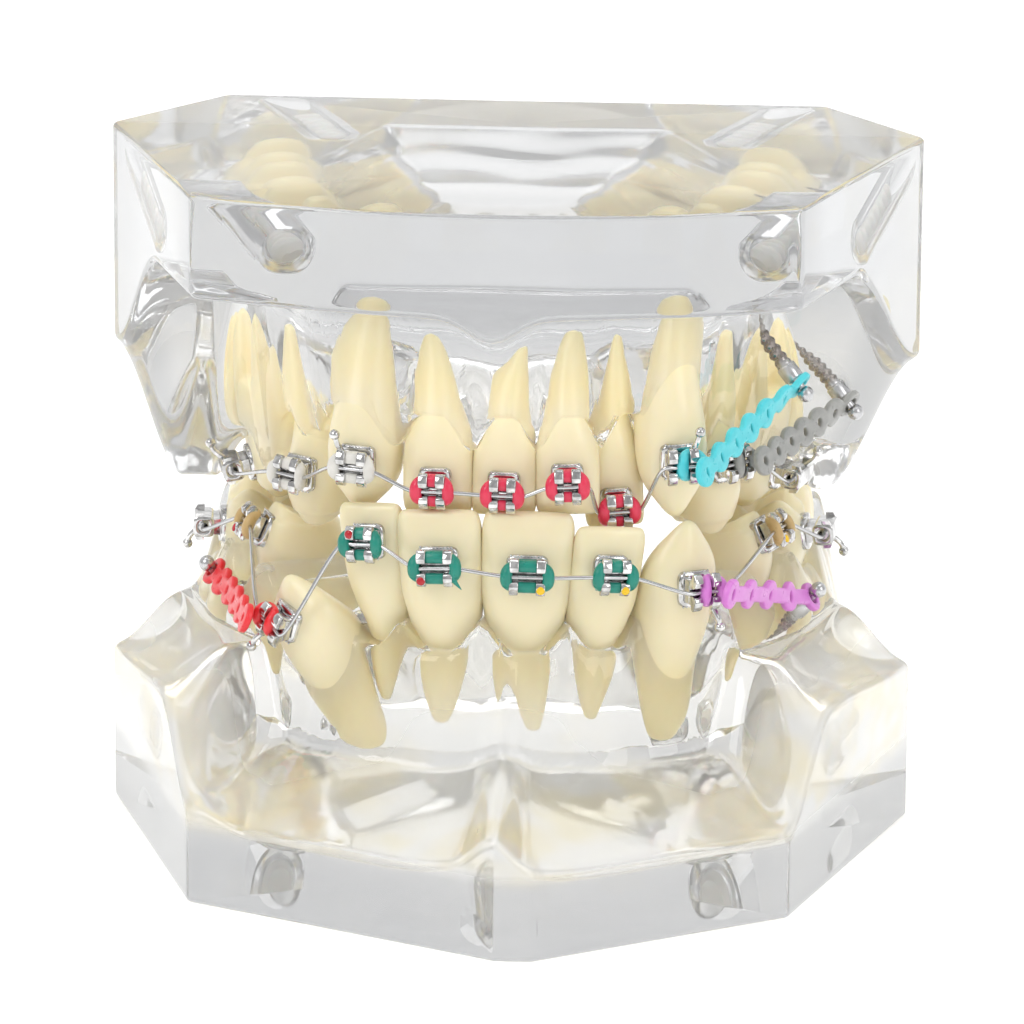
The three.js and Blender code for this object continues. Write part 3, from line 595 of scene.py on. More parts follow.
def bottom_height(x, y, inset):
    """Height of the bottom cast at a place that is inset from its rim: shelf, ridge and palate."""
    distance, rise, swell = BOTTOM_ARCH.around(x, y)
    inner = smooth(inset, 0, 10)
    side = smooth(y, lerp(-19, -9, inner), lerp(-7, -3, inner))
    # the fold of the lip at the middle, and the height of the rim, which is raised at the point
    fold = np.where(y < -10, np.exp(-(((x - FOLD_X) / 2.2) ** 2)), 0)
    thickness = lerp(4.4, 6.2, smooth(y, -8, 12)) + swell - 0.35 + 0.5 * fold ** 4
    rim = 7.8 + 1.5 * np.exp(-(((x - FOLD_X) / 5) ** 2)) + 1.4 * smooth(-x, 22, 27)
    share = np.clip(inset / np.maximum(inset + distance - 6, 0.1), 0, 1)
    front = lerp(rim, 13.3, share) + fold * lerp(2.2, 1.4, smooth(y, -HALF_DEPTH, -15))
    shelf = lerp(lerp(17.5, 15.5, smooth(y, -7, 14)), 21, smooth(inset, 0, 7))
    outer = lerp(front, shelf, side) + ripple(x, y) * smooth(inset, 0, 3)
    crest = lerp(24.6, 25.6, side) - 1.1 + 2.8 * rise
    vault = lerp(17, 12, smooth(y, -6, 10)) + ripple(x, y)
    cheek = lerp(crest, outer, smooth(distance, thickness - 0.9, thickness + 2.2))
    palate = lerp(crest, vault, smooth(-distance, 4 + 0.4 * thickness - 2.6, thickness + 4))
    return np.where(distance >= 0, cheek, palate)


def top_height(x, y, inset):
    """The same for the top cast, from its own flat face: front, lobes at the back, ridge and floor."""
    distance, rise, swell = TOP_ARCH.around(x, y)
    heel = smooth(y, 2, 19)
    thickness = lerp(4.2, 5.3, smooth(y, -8, 12)) + swell - 0.35
    frenum = 2.2 * np.exp(-((x / 3) ** 2))
    front = 9.8 + 0.1 * np.maximum(10 - distance, 0) + np.where(y < -6, frenum, 0)
    rim = lerp(9.8, 21.5, heel)
    lobe = lerp(rim, lerp(9, 34.8, heel), smooth(inset, 0, np.where(x < 0, 6.4, 9)))
    outer = lerp(front, lobe, smooth(y, -2, 3)) + ripple(x, y) * smooth(inset, 0, 3)
    crest = lerp(lerp(21.5, 29.3, smooth(y, -6, 8)), 33.4, smooth(y, 26, 31))
    crest = crest - 1.1 + lerp(3.3, 2.0, heel) * rise
    floor = lerp(17, 15, smooth(y, -6, 10)) + ripple(x, y)
    cheek = lerp(crest, outer, smooth(distance, thickness - 0.9, thickness + 2.0))
    tongue = lerp(crest, floor, smooth(-distance, 4 + 0.4 * thickness - 2.6, thickness + 6))
    return np.where(distance >= 0, cheek, tongue)


# Distance of the support points beside an eased corner, and the ease of the lower and the upper rim.
SUPPORT = 0.35
LOW_EASE, HIGH_EASE = 0.45, 0.7


def rounded_outline(corners, pitch, radius):
    """Points round a closed polygon whose corners are eased, with support points beside them."""
    corners = [np.array(c, float) for c in corners]
    points = []
    for k, corner in enumerate(corners):
        before, after = corners[k - 1], corners[(k + 1) % len(corners)]
        a, b = before - corner, after - corner
        reach_a, reach_b = np.linalg.norm(a), np.linalg.norm(b)
        a, b = a / reach_a, b / reach_b
        bend = math.acos(np.clip(-(a @ b), -1, 1))
        eased = bend > math.radians(12)
        cut = min(radius * math.tan(bend / 2), 0.3 * reach_a, 0.3 * reach_b)
        beside = cut + SUPPORT
        start, end = corner + a * cut, corner + b * cut
        if eased:
            points.append(corner + a * beside)
        for t in np.linspace(0, 1, 5 if eased else 2):
            points.append((1 - t) ** 2 * start + 2 * t * (1 - t) * corner + t * t * end)
        if eased:
            points.append(corner + b * beside)
        steps = max(1, round((reach_b - 2 * beside) / pitch))
        for t in np.arange(1, steps) / steps:
            points.append(lerp(corner + b * beside, after - b * beside, t))
    return np.array(points)


def cast_mesh(corners, height, to_world, pitch=0.6, radial=110):
    """A cast as rings: up its wall from the flat face, over the rim and in to the spine."""
    outline = rounded_outline(corners, pitch, 1.2)
    spine = np.stack([np.zeros(len(outline)), np.clip(outline[:, 1], *SPINE)], 1)
    length = np.linalg.norm(spine - outline, axis=1)
    inward = (spine - outline) / length[:, None]

    def at(inset):
        return outline + inward * np.minimum(inset, length)[:, None]

    rings = []

    def ring(inset, level):
        rings.append(np.column_stack([at(inset), level]))

    count = len(outline)
    quarter = np.linspace(0, math.pi / 2, 5)
    for angle in quarter:
        inset, level = LOW_EASE * (1 - math.sin(angle)), LOW_EASE * (1 - math.cos(angle))
        ring(np.full(count, inset), np.full(count, level))
    rim = height(*at(np.zeros(count)).T, np.zeros(count)) - HIGH_EASE - 0.3
    for share in (0, 0.33, 0.67, 1):
        ring(np.zeros(count), lerp(2 * LOW_EASE, rim, share))
    for angle in quarter:
        inset = np.full(count, HIGH_EASE * (1 - math.cos(angle)))
        ring(inset, height(*at(inset).T, inset) - HIGH_EASE * (1 - math.sin(angle)))
    for share in np.linspace(0, 1, radial)[1:]:
        inset = lerp(HIGH_EASE, length - 0.02, share)
        ring(inset, height(*at(inset).T, inset))
    points = np.concatenate(rings)
    faces = ring_faces(len(rings), count)
    base = len(points)
    low = np.column_stack([spine, np.zeros(count)])
    high = np.column_stack([spine, height(*spine.T, length)])
    points = np.concatenate([points, low, high])
    top = (len(rings) - 1) * count
    for i in range(count):
        k = (i + 1) % count
        faces.append((k, i, base + i, base + k))
        faces.append((top + i, top + k, base + count + k, base + count + i))
    points[:, 2] = to_world(points[:, 2])
    return points, faces


def mirrored(side):
    return [*side, *[(-x, y) for x, y in side[::-1] if x > 0]]


# Name, inner end, a point beyond the outer end and length of each; below, the play of its hole and
# the pitch and depth of its thread.
PLUGS = {
    "top": [("plug_left", (-17, 23, 55), (-24, 34.7, 62.5), 9),
            ("plug_right", (19, 23, 55), (26, 34.7, 62.5), 9)],
    "bottom": [("plug_left", (-13.2, 24, 5.2), (-13.2, 36, 5.2), 8.6),
               ("plug_right", (9.5, 24, 5.2), (9.5, 36, 5.2), 8.6)],
}
PLUG_RADIUS = 2.0
PLUG_PLAY = 0.7
PLUG_THREAD = (1.1, 0.28)


def upright(origin, direction):
    turn = Vector((0, 0, 1)).rotation_difference(Vector(direction)).to_matrix().to_4x4()
    return Matrix.Translation(Vector(origin) * MM) @ turn


def build_cast(jaw, corners, height, to_world):
    """One cast with its casting holes drilled, and the plugs that stand in them."""
    points, faces = cast_mesh(corners, height, to_world)
    cast = add_mesh(f"{jaw}_cast_clear", points, faces, CLEAR, sharp=50)
    drills = []
    for name, inner, outer, length in PLUGS[jaw]:
        along_axis = np.array(outer, float) - np.array(inner, float)
        whole = np.linalg.norm(along_axis)
        matrix = upright(inner, along_axis / whole)
        r = PLUG_RADIUS + PLUG_PLAY
        profile = [(0.1, -0.5), (0.9, -0.42), (1.6, -0.1), (2.2, 0.5), (r, 1.3), (r, whole + 2)]
        drill = add_mesh(f"{jaw}_{name}_drill", *turned(refined(profile, 0.6), 48), CLEAR)
        drill.matrix_world = matrix
        drills.append(drill)
        r = PLUG_RADIUS
        profile = [(0.3, 0), (1.2, 0), (1.85, 0.6), (r, 1.0),
                   (r, length - 0.3), (1.7, length), (0.3, length)]
        skin = turned(refined(profile, 0.12), 36, (*PLUG_THREAD, 1.2, length - 0.6))
        place(add_mesh(f"{jaw}_{name}_pin", *skin, NYLON), jaw, matrix, name)
    bpy.context.view_layer.update()
    for drill in drills:
        cut = cast.modifiers.new("hole", "BOOLEAN")
        cut.operation, cut.solver, cut.object = "DIFFERENCE", "EXACT", drill
    bake_modifiers(cast, 50)
    for drill in drills:
        bpy.data.objects.remove(drill)
    place(cast, jaw, node="cast")


# The outlines of the two bases, the bottom one with a small flat at its point.
bottom_outline = [(4.9, -33), (28, -18.3), (38.6, 14), (30, 33),
                  (-30, 33), (-38.6, 14), (-28, -18.3), (1.7, -33)]
front_arc = [(x, -11.9 - 5.7 * (1 - (x / 28.1) ** 2)) for x in np.linspace(0, 28.1, 10)[:-1]]
top_outline = mirrored([*front_arc, (28.1, -11.9), (39, 19.5), (29.5, 33)])
build_cast("bottom", bottom_outline, bottom_height, lambda z: z)
build_cast("top", top_outline, top_height, lambda z: HEIGHT - z)


# ---------------------------------------------------------------- teeth: how they look
# Level, half width, half depth to cheek, half depth to tongue, squareness. Below 0 it is a share of the
# root's length, above it of the crown's height.
PROFILES = {
    "incisor": [
        (-1, .03, .03, .03, 2), (-.985, .11, .12, .12, 2), (-.95, .18, .2, .2, 2), (-.8, .32, .36, .36, 2),
        (-.55, .5, .55, .55, 2), (-.25, .67, .73, .73, 2), (-.06, .8, .84, .84, 2),
        (.03, .9, .87, .87, 2.1),
        (.14, .95, .89, .86, 2.3), (.3, 1.01, .87, .76, 2.5), (.5, 1.03, .76, .55, 2.6),
        (.7, 1.02, .58, .34, 2.8), (.85, 1.01, .42, .22, 3), (.92, .985, .32, .18, 2.9),
        (.965, .94, .24, .14, 2.8), (.99, .86, .17, .09, 2.6), (1, .76, .08, .03, 2.5)],
    "canine": [
        (-1, .05, .05, .05, 2), (-.985, .24, .24, .24, 2), (-.95, .38, .38, .38, 2),
        (-.8, .56, .56, .56, 2),
        (-.55, .72, .7, .7, 2), (-.25, .84, .83, .83, 2), (0, .92, .92, .92, 2.1),
        (.15, .96, .95, .93, 2.2), (.35, .98, .94, .84, 2.2), (.5, 1, .84, .68, 2.2),
        (.66, .93, .66, .48, 2.2), (.78, .74, .5, .36, 2.1), (.88, .48, .34, .25, 2),
        (.95, .28, .21, .16, 2), (.985, .14, .12, .1, 2), (1, .05, .05, .04, 2)],
    "premolar": [
        (-1, .05, .05, .05, 2), (-.985, .18, .2, .2, 2), (-.95, .29, .31, .31, 2), (-.75, .46, .5, .5, 2),
        (-.5, .68, .66, .66, 2), (-.25, .82, .79, .79, 2), (0, .9, .88, .88, 2.2), (.2, .95, .95, .93, 2.3),
        (.45, 1, 1, .96, 2.4), (.65, .95, .93, .88, 2.4), (.82, .84, .8, .74, 2.3)],
    "molar": [
        (-.42, .36, .36, .36, 2.2), (-.4, .58, .56, .56, 2.2), (-.34, .76, .72, .72, 2.3),
        (-.2, .84, .82, .82, 2.4), (0, .9, .9, .9, 2.6), (.2, .95, .97, .94, 2.8), (.4, 1, 1, .96, 2.9),
        (.62, .99, .96, .92, 2.9), (.82, .94, .9, .86, 2.7)],
}
SIDES = 56


def finer(profile, cuts):
    """A profile with its columns drawn through smoothly."""
    rows = np.array(profile, float)
    curve = spline([(k * 1.0, *row) for k, row in enumerate(rows)], cuts)[:, 1:]
    return np.maximum(curve, [[-1, 0.01, 0.01, 0.01, 1.8]])


def section(a, cheek, tongue, square, turn):
    """A rounded section: half width a, and a half depth on either side."""
    s, c = np.sin(turn), np.cos(turn)
    x = a * np.sign(s) * np.abs(s) ** (2 / square)
    y = np.where(c > 0, tongue, cheek) * np.sign(c) * np.abs(c) ** (2 / square)
    return x, y


def relief(shape, u, v, upper):
    """Cusps and grooves of a chewing surface, in millimetres; u runs across it, v from cheek to tongue."""
    r = np.sqrt(u * u + v * v)
    if shape == "premolar":
        cheek_cusp = 1.5 * np.exp(-(u ** 2 / 0.5 + (v + 0.42) ** 2 / 0.12))
        tongue_cusp = 1.0 * np.exp(-(u ** 2 / 0.4 + (v - 0.45) ** 2 / 0.12))
        groove = -0.5 * np.exp(-((v - 0.04) / 0.1) ** 2) * (1 - smooth(np.abs(u), 0.5, 0.8))
        return cheek_cusp + tongue_cusp + groove
    last = 0.7 if upper else 0.95
    cusps = [(-0.45, -0.45, 1.25), (0.45, -0.45, 1.15), (-0.42, 0.48, 1.1), (0.46, 0.46, last)]
    total = sum(h * np.exp(-((u - a) ** 2 + (v - b) ** 2) / 0.085) for a, b, h in cusps)
    total -= 0.5 * np.exp(-((u - 0.05 * np.sin(6 * v)) / 0.09) ** 2) * smooth(1.1 - r, 0, 0.25)
    total -= 0.55 * np.exp(-((v - 0.05 * np.sin(7 * u)) / 0.09) ** 2) * (1 - smooth(np.abs(u), 0.6, 0.85))
    return total


def crown_rings(tooth, turn):
    """A tooth's rings from root end to edge, or round and over the chewing surface of a back tooth."""
    rows = finer(PROFILES[tooth.shape], 4)
    rings = []
    table = tooth.shape in ("premolar", "molar")
    upper = tooth.jaw == "bottom"
    half_width, half_depth = tooth.width / 2, tooth.depth / 2
    bend = -0.4 if tooth.name == "canine_left" else 1
    for level, wide, cheek, tongue, square in rows:
        # all but the molars are a little fuller where they face their neighbours
        snug = 0.14 * smooth(level, 0.1, 0.35) * (tooth.shape != "molar")
        x, y = section(wide * half_width + snug, cheek * half_depth, tongue * half_depth, square, turn)
        z = np.full(len(turn), level * (tooth.root if level < 0 else tooth.crown))
        if level < 0 and tooth.shape != "molar":
            x = x + tooth.distal * 0.07 * tooth.root * level * level * bend
        if level >= 0 and not table:
            # the three faint lobes of the outer face
            lobes = np.cos(x / half_width * 2.2 * math.pi) * 0.07 * smooth(level, 0.3, 0.8)
            y = y - np.where(y < 0, lobes, 0)
        if level >= 0.3 and table:
            u, v = x / half_width, y / half_depth
            grow = smooth(level, 0.3, 0.82)
            z = z + 0.8 * grow * (relief(tooth.shape, 0.8 * u, 0.8 * v, upper) - 0.35)
            pinch = 0.35 * grow * np.exp(-((u / 0.14) ** 2)) * (tooth.shape == "molar")
            y = y - np.sign(y) * pinch
        rings.append(np.stack([x, y, z], 1))
    if not table:
        return rings
    level, wide, cheek, tongue, square = rows[-1]
    for share in np.linspace(1, 0.03, 22)[1:]:
        x, y = section(share * wide * half_width, share * cheek * half_depth, share * tongue * half_depth,
                       lerp(2, square, share), turn)
        spread = lerp(0.8, 1, 1 - share)
        rise = 0.09 * smooth(1 - share, 0, 0.3) - 0.13 * smooth(1 - share, 0.35, 0.9)
        grow = lerp(0.8, 1.0, smooth(1 - share, 0, 0.3))
        bumps = relief(tooth.shape, spread * (x / half_width), spread * (y / half_depth), upper)
        z = tooth.crown * (0.82 + rise) + grow * (bumps - 0.35)
        rings.append(np.stack([x, y, z], 1))
    return rings


def root_loft(tooth, x0, y0, lean, long, width, depth, turn):
    """One root of a molar, from inside the crown to its apex, bent a little at the end."""
    rings = []
    for t in np.linspace(0, 1, 26):
        z = lerp(0.1 * tooth.root, -long * tooth.root, t)
        fade = math.sqrt(max(1 - t ** 7, 0.0025)) * lerp(1, 0.78, smooth(t, 0.1, 1.0))
        bow = math.sin(t * math.pi * 0.9) * 0.5
        x = x0 * lerp(1, 1.25, t) + lean * t * t * 1.4 + math.copysign(bow, x0) * (abs(x0) > 0.1)
        y = y0 * lerp(1, 1.2, t) + math.copysign(bow * 0.6, y0) * (abs(y0) > 0.1)
        sx, sy = section(width * fade, depth * fade, depth * fade, 2.2, turn)
        rings.append(np.stack([sx + x, sy + y, np.full(len(turn), z)], 1))
    return loft(rings)


def build_tooth(tooth):
    """A tooth's mesh; a molar's crown and roots become one skin."""
    turn = np.linspace(0, 2 * math.pi, SIDES, endpoint=False)
    parts = [loft(crown_rings(tooth, turn))]
    if tooth.shape == "molar":
        w, d, back = tooth.width / 2, tooth.depth / 2, tooth.distal
        if tooth.jaw == "bottom":
            parts += [root_loft(tooth, 0.46 * w, -0.38 * d, 0.6 * back, 0.94, 0.4 * w, 0.38 * d, turn),
                      root_loft(tooth, -0.46 * w, -0.38 * d, 0.6 * back, 0.98, 0.4 * w, 0.38 * d, turn),
                      root_loft(tooth, 0, 0.42 * d, 0.2 * back, 1.0, 0.42 * w, 0.36 * d, turn)]
        else:
            parts += [root_loft(tooth, 0.48 * w, 0, 0.8 * back, 0.98, 0.46 * w, 0.68 * d, turn),
                      root_loft(tooth, -0.48 * w, 0, 0.8 * back, 1.0, 0.46 * w, 0.68 * d, turn)]
    obj = add_mesh(f"{tooth.jaw}_{tooth.name}_whole", *merged(parts), IVORY, sharp=70)
    if tooth.shape == "molar":
        remesh = obj.modifiers.new("one_skin", "REMESH")
        remesh.mode, remesh.voxel_size = "VOXEL", 0.22 * MM
        ease = obj.modifiers.new("ease", "SMOOTH")
        ease.factor, ease.iterations = 0.5, 4
        bake_modifiers(obj, 80)
        obj.data.materials.clear()
        obj.data.materials.append(IVORY)
    place(obj, tooth.jaw, tooth.matrix, tooth.name)


for jaw_teeth in TEETH.values():
    for one in jaw_teeth:
        build_tooth(one)


# ---------------------------------------------------------------- brackets, tubes, ties
def rounded_plate(width, height, square, levels, curve):
    """A bowed plate in x and z with rounded corners; levels are (y, inset) from back to front."""
    turn = np.linspace(0, 2 * math.pi, 40, endpoint=False) + 0.02
    rings = []
    for y, inset in levels:
        cx, cz = np.cos(turn), np.sin(turn)
        w, h = width / 2 - inset, height / 2 - inset
        x = w * np.sign(cx) * np.abs(cx) ** (2 / square)
        z = h * np.sign(cz) * np.abs(cz) ** (2 / square)
        rings.append(np.stack([x, y + curve * (x / width * 2) ** 2, z], 1))
    return loft(rings)


def block(profile, x, width):
    """A slab with this (y, z) outline, as wide as asked and centred at x."""
    outline = np.array(profile, float)
    count = len(outline)
    points = [np.column_stack([np.full(count, x + s * width / 2), outline]) for s in (-1, 1)]
    faces = [tuple(range(count)), tuple(reversed(range(count, 2 * count)))]
    for i in range(count):
        k = (i + 1) % count
        faces.append((i, count + i, count + k, k))
    return np.concatenate(points), faces


def bevelled(obj, width, segments=2, angle=35):
    mod = obj.modifiers.new("bevel", "BEVEL")
    mod.width, mod.segments, mod.limit_method = width * MM, segments, "ANGLE"
    mod.angle_limit = math.radians(angle)
    return bake_modifiers(obj, 45)


def ball(centre, radius, rings=14, sides=18):
    turn = np.linspace(0.08, math.pi - 0.08, rings)
    profile = [(radius * math.sin(a), -radius * math.cos(a)) for a in turn]
    points, faces = turned(profile, sides)
    return points + np.array(centre, float), faces


def hook(root, tip, radius=0.26, bulb=0.5):
    root, tip = np.array(root, float), np.array(tip, float)
    bend = lerp(root, tip, 0.5) + np.array([0, -0.25, 0])
    path = even(spline([root, bend, tip], 8), 14)
    return [along(path, np.linspace(radius * 1.15, radius * 0.9, 14), 14), ball(tip, bulb)]


# Half the distance between the two pairs of wings, for the narrow and the wide brackets.
SPREAD = {"incisor1_left": 0.8, "incisor1_right": 0.8, "incisor2_left": 0.8, "incisor2_right": 0.78,
          "central_left": 1.25, "central_right": 1.25, "lateral_left": 0.92, "lateral_right": 0.94}
# The width of a wing, and outlines of the parts of a bracket, as (y, z) points.
WING = 0.88
UPPER_WING = [(-0.9, 0.34), (-1.62, 0.34), (-2.1, 0.5), (-2.2, 0.95), (-1.95, 1.55),
              (-1.6, 1.78), (-1.4, 1.7), (-1.32, 1.25), (-0.95, 1.1)]
NECK = [(-0.2, 1.1), (-1.12, 1.1), (-1.12, -1.1), (-0.2, -1.1)]
SLOT_FLOOR = [(-0.2, 0.4), (-0.95, 0.4), (-0.95, -0.4), (-0.2, -0.4)]


def bracket_parts(spread):
    """Two pairs of wings on their necks, joined by the floor of the slot and a rib above and below it."""
    flip = [(y, -z) for y, z in reversed(UPPER_WING)]
    blocks = []
    for side in (-1, 1):
        blocks += [block(outline, side * spread, WING) for outline in (UPPER_WING, flip)]
        blocks.append(block(NECK, side * spread, WING + 0.06))
    for z in (0.62, -0.62):
        rib = [(-0.2, z + 0.26), (-1.3, z + 0.26), (-1.42, z), (-1.3, z - 0.26), (-0.2, z - 0.26)]
        blocks.append(block(rib, 0, 2 * spread))
    blocks.append(block(SLOT_FLOOR, 0, 2 * spread))
    return blocks


# Profiles of the pads, as (y, inset from the edge) points, and the outline of a tube's rim.
BRACKET_PAD = [(0.75, 0.5), (0.75, 0.1), (0.6, 0), (0.05, 0), (-0.12, 0.05), (-0.2, 0.16), (-0.22, 0.5)]
TUBE_PAD = [(0.85, 0.5), (0.85, 0.1), (0.7, 0), (0.05, 0), (-0.12, 0.05), (-0.2, 0.18), (-0.22, 0.6)]
TUBE_RIM = [(-1.6, 1.35), (-2.3, 1.3), (-2.5, 0.9), (-2.5, -0.9), (-2.3, -1.3), (-1.6, -1.35)]
TUBE_BORE = 0.42


def build_bracket(tooth):
    """A twin bracket on its pad, with a ball hook where the tooth has one."""
    name = f"bracket_{tooth.name}"
    matrix, jaw = tooth.fitting_matrix(), tooth.jaw
    spread = SPREAD.get(tooth.name, 1.0)
    width, bow = 2 * spread + 1.5, 0.22
    obj = add_mesh(f"{jaw}_{name}_metal", *merged(bracket_parts(spread)), BRACKET_STEEL)
    place(bevelled(obj, 0.1, 3), jaw, matrix, name)
    pad = rounded_plate(width, 3.4, 5.0, BRACKET_PAD, bow)
    place(add_mesh(f"{jaw}_{name}_pad", *pad, BRACKET_STEEL), jaw, matrix)
    # the edge of the gauze behind the pad
    knurls = []
    for z in (-1, 1):
        for x in np.arange(-width / 2 + 0.45, width / 2 - 0.4, 0.32):
            knurls.append(ball((x, -0.08 + bow * (x / width * 2) ** 2, z * 1.62), 0.13, 6, 8))
    place(add_mesh(f"{jaw}_{name}_mesh_edge", *merged(knurls), BRACKET_STEEL), jaw, matrix)
    if tooth.fitting == "hook":
        arm = hook((tooth.distal * spread, -1.3, -1.5), (tooth.distal * 1.5, -1.95, -3.4))
        place(add_mesh(f"{jaw}_{name}_hook", *merged(arm), BRACKET_STEEL), jaw, matrix)
    return matrix, spread


def build_tube(tooth):
    """A molar tube: a square barrel with a round bore, on its pad, with a ball hook."""
    name = f"tube_{tooth.name}"
    matrix, jaw, sides = tooth.fitting_matrix(), tooth.jaw, 32
    turn = np.linspace(0, 2 * math.pi, sides, endpoint=False)
    cy, cz = np.cos(turn), np.sin(turn)
    rings = []
    for x, half in ((-2.1, 0.9), (-2.0, 1.02), (2.0, 1.02), (2.1, 0.9)):
        y = -SLOT_DEPTH + half * np.sign(cy) * np.abs(cy) ** 0.5
        rings.append(np.stack([np.full(sides, x), y, half * np.sign(cz) * np.abs(cz) ** 0.5], 1))
    for x, r in ((2.1, TUBE_BORE + 0.25), (1.95, TUBE_BORE), (-1.95, TUBE_BORE), (-2.1, TUBE_BORE + 0.25)):
        rings.append(np.stack([np.full(sides, x), -SLOT_DEPTH + r * cy, r * cz], 1))
    parts = [(np.concatenate(rings), ring_faces(len(rings), sides, True)),
             block([(0, 0.8), (-0.9, 0.7), (-0.9, -0.7), (0, -0.8)], 0, 3.6)]
    # the ball hook, and the rims that a tie would sit behind
    parts += hook((tooth.distal * 0.6, -2.2, -0.8), (tooth.distal * 0.9, -3.15, -2.4))
    parts += [block(TUBE_RIM, x, 0.45) for x in (-1.75, 1.75)]
    place(add_mesh(f"{jaw}_{name}_metal", *merged(parts), BRACKET_STEEL), jaw, matrix, name)
    pad = rounded_plate(4.5, 3.3, 3.2, TUBE_PAD, 0.3)
    place(add_mesh(f"{jaw}_{name}_pad", *pad, BRACKET_STEEL), jaw, matrix)


TIE_BAND = [(-1.0, 0.5), (-1.62, 0.46), (-1.84, 0.62), (-1.88, 1.0),
            (-1.72, 1.4), (-1.4, 1.56), (-1.0, 1.5)]


def build_tie(tooth, matrix, spread, colour):
    """An elastic ring stretched under the wings and over the wire at either side.

    Where a chain hangs on the bracket, its end ring holds the pair of wings nearest to it."""
    turn = np.linspace(0, 2 * math.pi, 64, endpoint=False)
    cx, cz = np.cos(turn), np.sin(turn)
    chained = (tooth.jaw, tooth.name) in CHAINED
    reach = 0.5 * spread + 0.42 if chained else spread + 0.72
    x = reach * np.sign(cx) * np.abs(cx) ** 0.7 + (tooth.distal * (0.5 * spread + 0.36) if chained else 0)
    z = 1.16 * np.sign(cz) * np.abs(cz) ** 0.7
    y = -1.75 * cx ** 2 - 1.05 * cz ** 2
    radius = lerp(0.4, 0.56, cx ** 2)
    ring = along(np.stack([x, y, z], 1), radius, 16, closed=True)
    place(add_mesh(f"{tooth.jaw}_tie_{tooth.name}", *ring, ELASTICS[colour], sharp=80), tooth.jaw, matrix)
    if chained:
        return
    flip = [(y, -z) for y, z in reversed(TIE_BAND)]
    bars = [block(outline, 0, 2 * spread - WING + 0.04) for outline in (flip, TIE_BAND)]
    bar = add_mesh(f"{tooth.jaw}_tie_middle_{tooth.name}", *merged(bars), ELASTICS[colour], sharp=80)
    place(bevelled(bar, 0.09, 3, 15), tooth.jaw, matrix)
    if (tooth.jaw, tooth.name) == TORN:
        path = even(spline([(1.5, -1.7, -0.4), (1.9, -2.0, -1.1), (2.5, -1.9, -1.9)], 8), 12)
        tail = along(path, np.linspace(0.5, 0.05, 12), 12, flat=0.5)
        obj = add_mesh(f"{tooth.jaw}_tie_tail_{tooth.name}", *tail, ELASTICS[colour], sharp=80)
        place(obj, tooth.jaw, matrix)


def build_dot(tooth, matrix, spread, colour, across, up):
    """The paint spot that marks a bracket's quadrant."""
    spot = turned([(0.05, 0.0), (0.36, 0.0), (0.42, 0.08), (0.36, 0.2), (0.2, 0.26), (0.04, 0.28)], 20)
    points = np.stack([spot[0][:, 0], -spot[0][:, 2], spot[0][:, 1]], 1) + [across * spread, -2.0, up]
    obj = add_mesh(f"{tooth.jaw}_dot_{tooth.name}", points, spot[1], ENAMEL[colour], sharp=80)
    place(obj, tooth.jaw, matrix)


ENAMEL = {"red": rubber("enamel_red", srgb(196, 30, 40), srgb(160, 20, 32), (0.15, 0.3)),
          "yellow": rubber("enamel_yellow", srgb(252, 208, 30), srgb(236, 182, 14), (0.15, 0.3))}
CHAINED = {("top", "canine_right"), ("top", "premolar_right"),
           ("bottom", "canine_left"), ("bottom", "canine_right")}
TORN = ("bottom", "central_left")
TIES = {
    "top": {"premolar_left": "white", "canine_left": "white", "incisor2_left": "pink",
            "incisor1_left": "pink", "incisor1_right": "pink", "incisor2_right": "pink",
            "canine_right": "cyan", "premolar_right": "grey"},
    "bottom": {"premolar_left": "amber", "canine_left": "red", "lateral_left": "green",
               "central_left": "green", "central_right": "green", "lateral_right": "green",
               "canine_right": "violet", "premolar_right": "amber"},
}
# Paint dots of the bottom row: colour, on which pair of wings, how high.
DOTS = {"premolar_left": ("red", -1, -1.1), "lateral_left": ("red", -1, 1.0),
        "central_left": ("red", -1, -1.1), "central_right": ("yellow", 1, -1.1),
        "lateral_right": ("yellow", 1, -1.1), "premolar_right": ("yellow", -1, -1.1)}

for jaw, jaw_teeth in TEETH.items():
    for one in jaw_teeth:
        if one.fitting == "tube":
            build_tube(one)
        elif one.fitting:
            at, half = build_bracket(one)
            build_tie(one, at, half, TIES[jaw][one.name])
            if jaw == "bottom" and one.name in DOTS:
                build_dot(one, at, half, *DOTS[one.name])


# ---------------------------------------------------------------- archwires
WIRE_RADIUS = 0.2


def build_wire(jaw, teeth):
    """A round wire through the middle of every slot and tube of one jaw."""
    stops = []
    for tooth in teeth:
        if tooth.fitting:
            reach = 2.9 if tooth.fitting == "tube" else 1.8
            matrix, right = tooth.fitting_matrix(), math.copysign(1, tooth.up[2])
            stops += [moved(matrix, (x * right * reach, -SLOT_DEPTH, 0)) for x in (-1, -0.4, 0.4, 1)]
    path = even(spline(stops, 14), 420)
    wire = add_mesh(f"{jaw}_archwire_round", *along(path, WIRE_RADIUS), WIRE_STEEL, sharp=60)
    place(wire, jaw, node="archwire")


for jaw, jaw_teeth in TEETH.items():
    build_wire(jaw, jaw_teeth)


# ---------------------------------------------------------------- screws and chains
# The middle of each head's ball, and the tip.
SCREWS = {
    "top": {"screw_front": ((28.3, 4, 44.5), (23.6, 5.6, 50.4)),
            "screw_back": ((32.9, 12, 40.8), (27.6, 12.8, 47.2))},
    "bottom": {"screw_left": ((-28.6, 6, 26), (-23.6, 6.8, 20.2)),
               "screw_right": ((29.8, 6, 24.8), (24.4, 6.8, 19.2))},
}
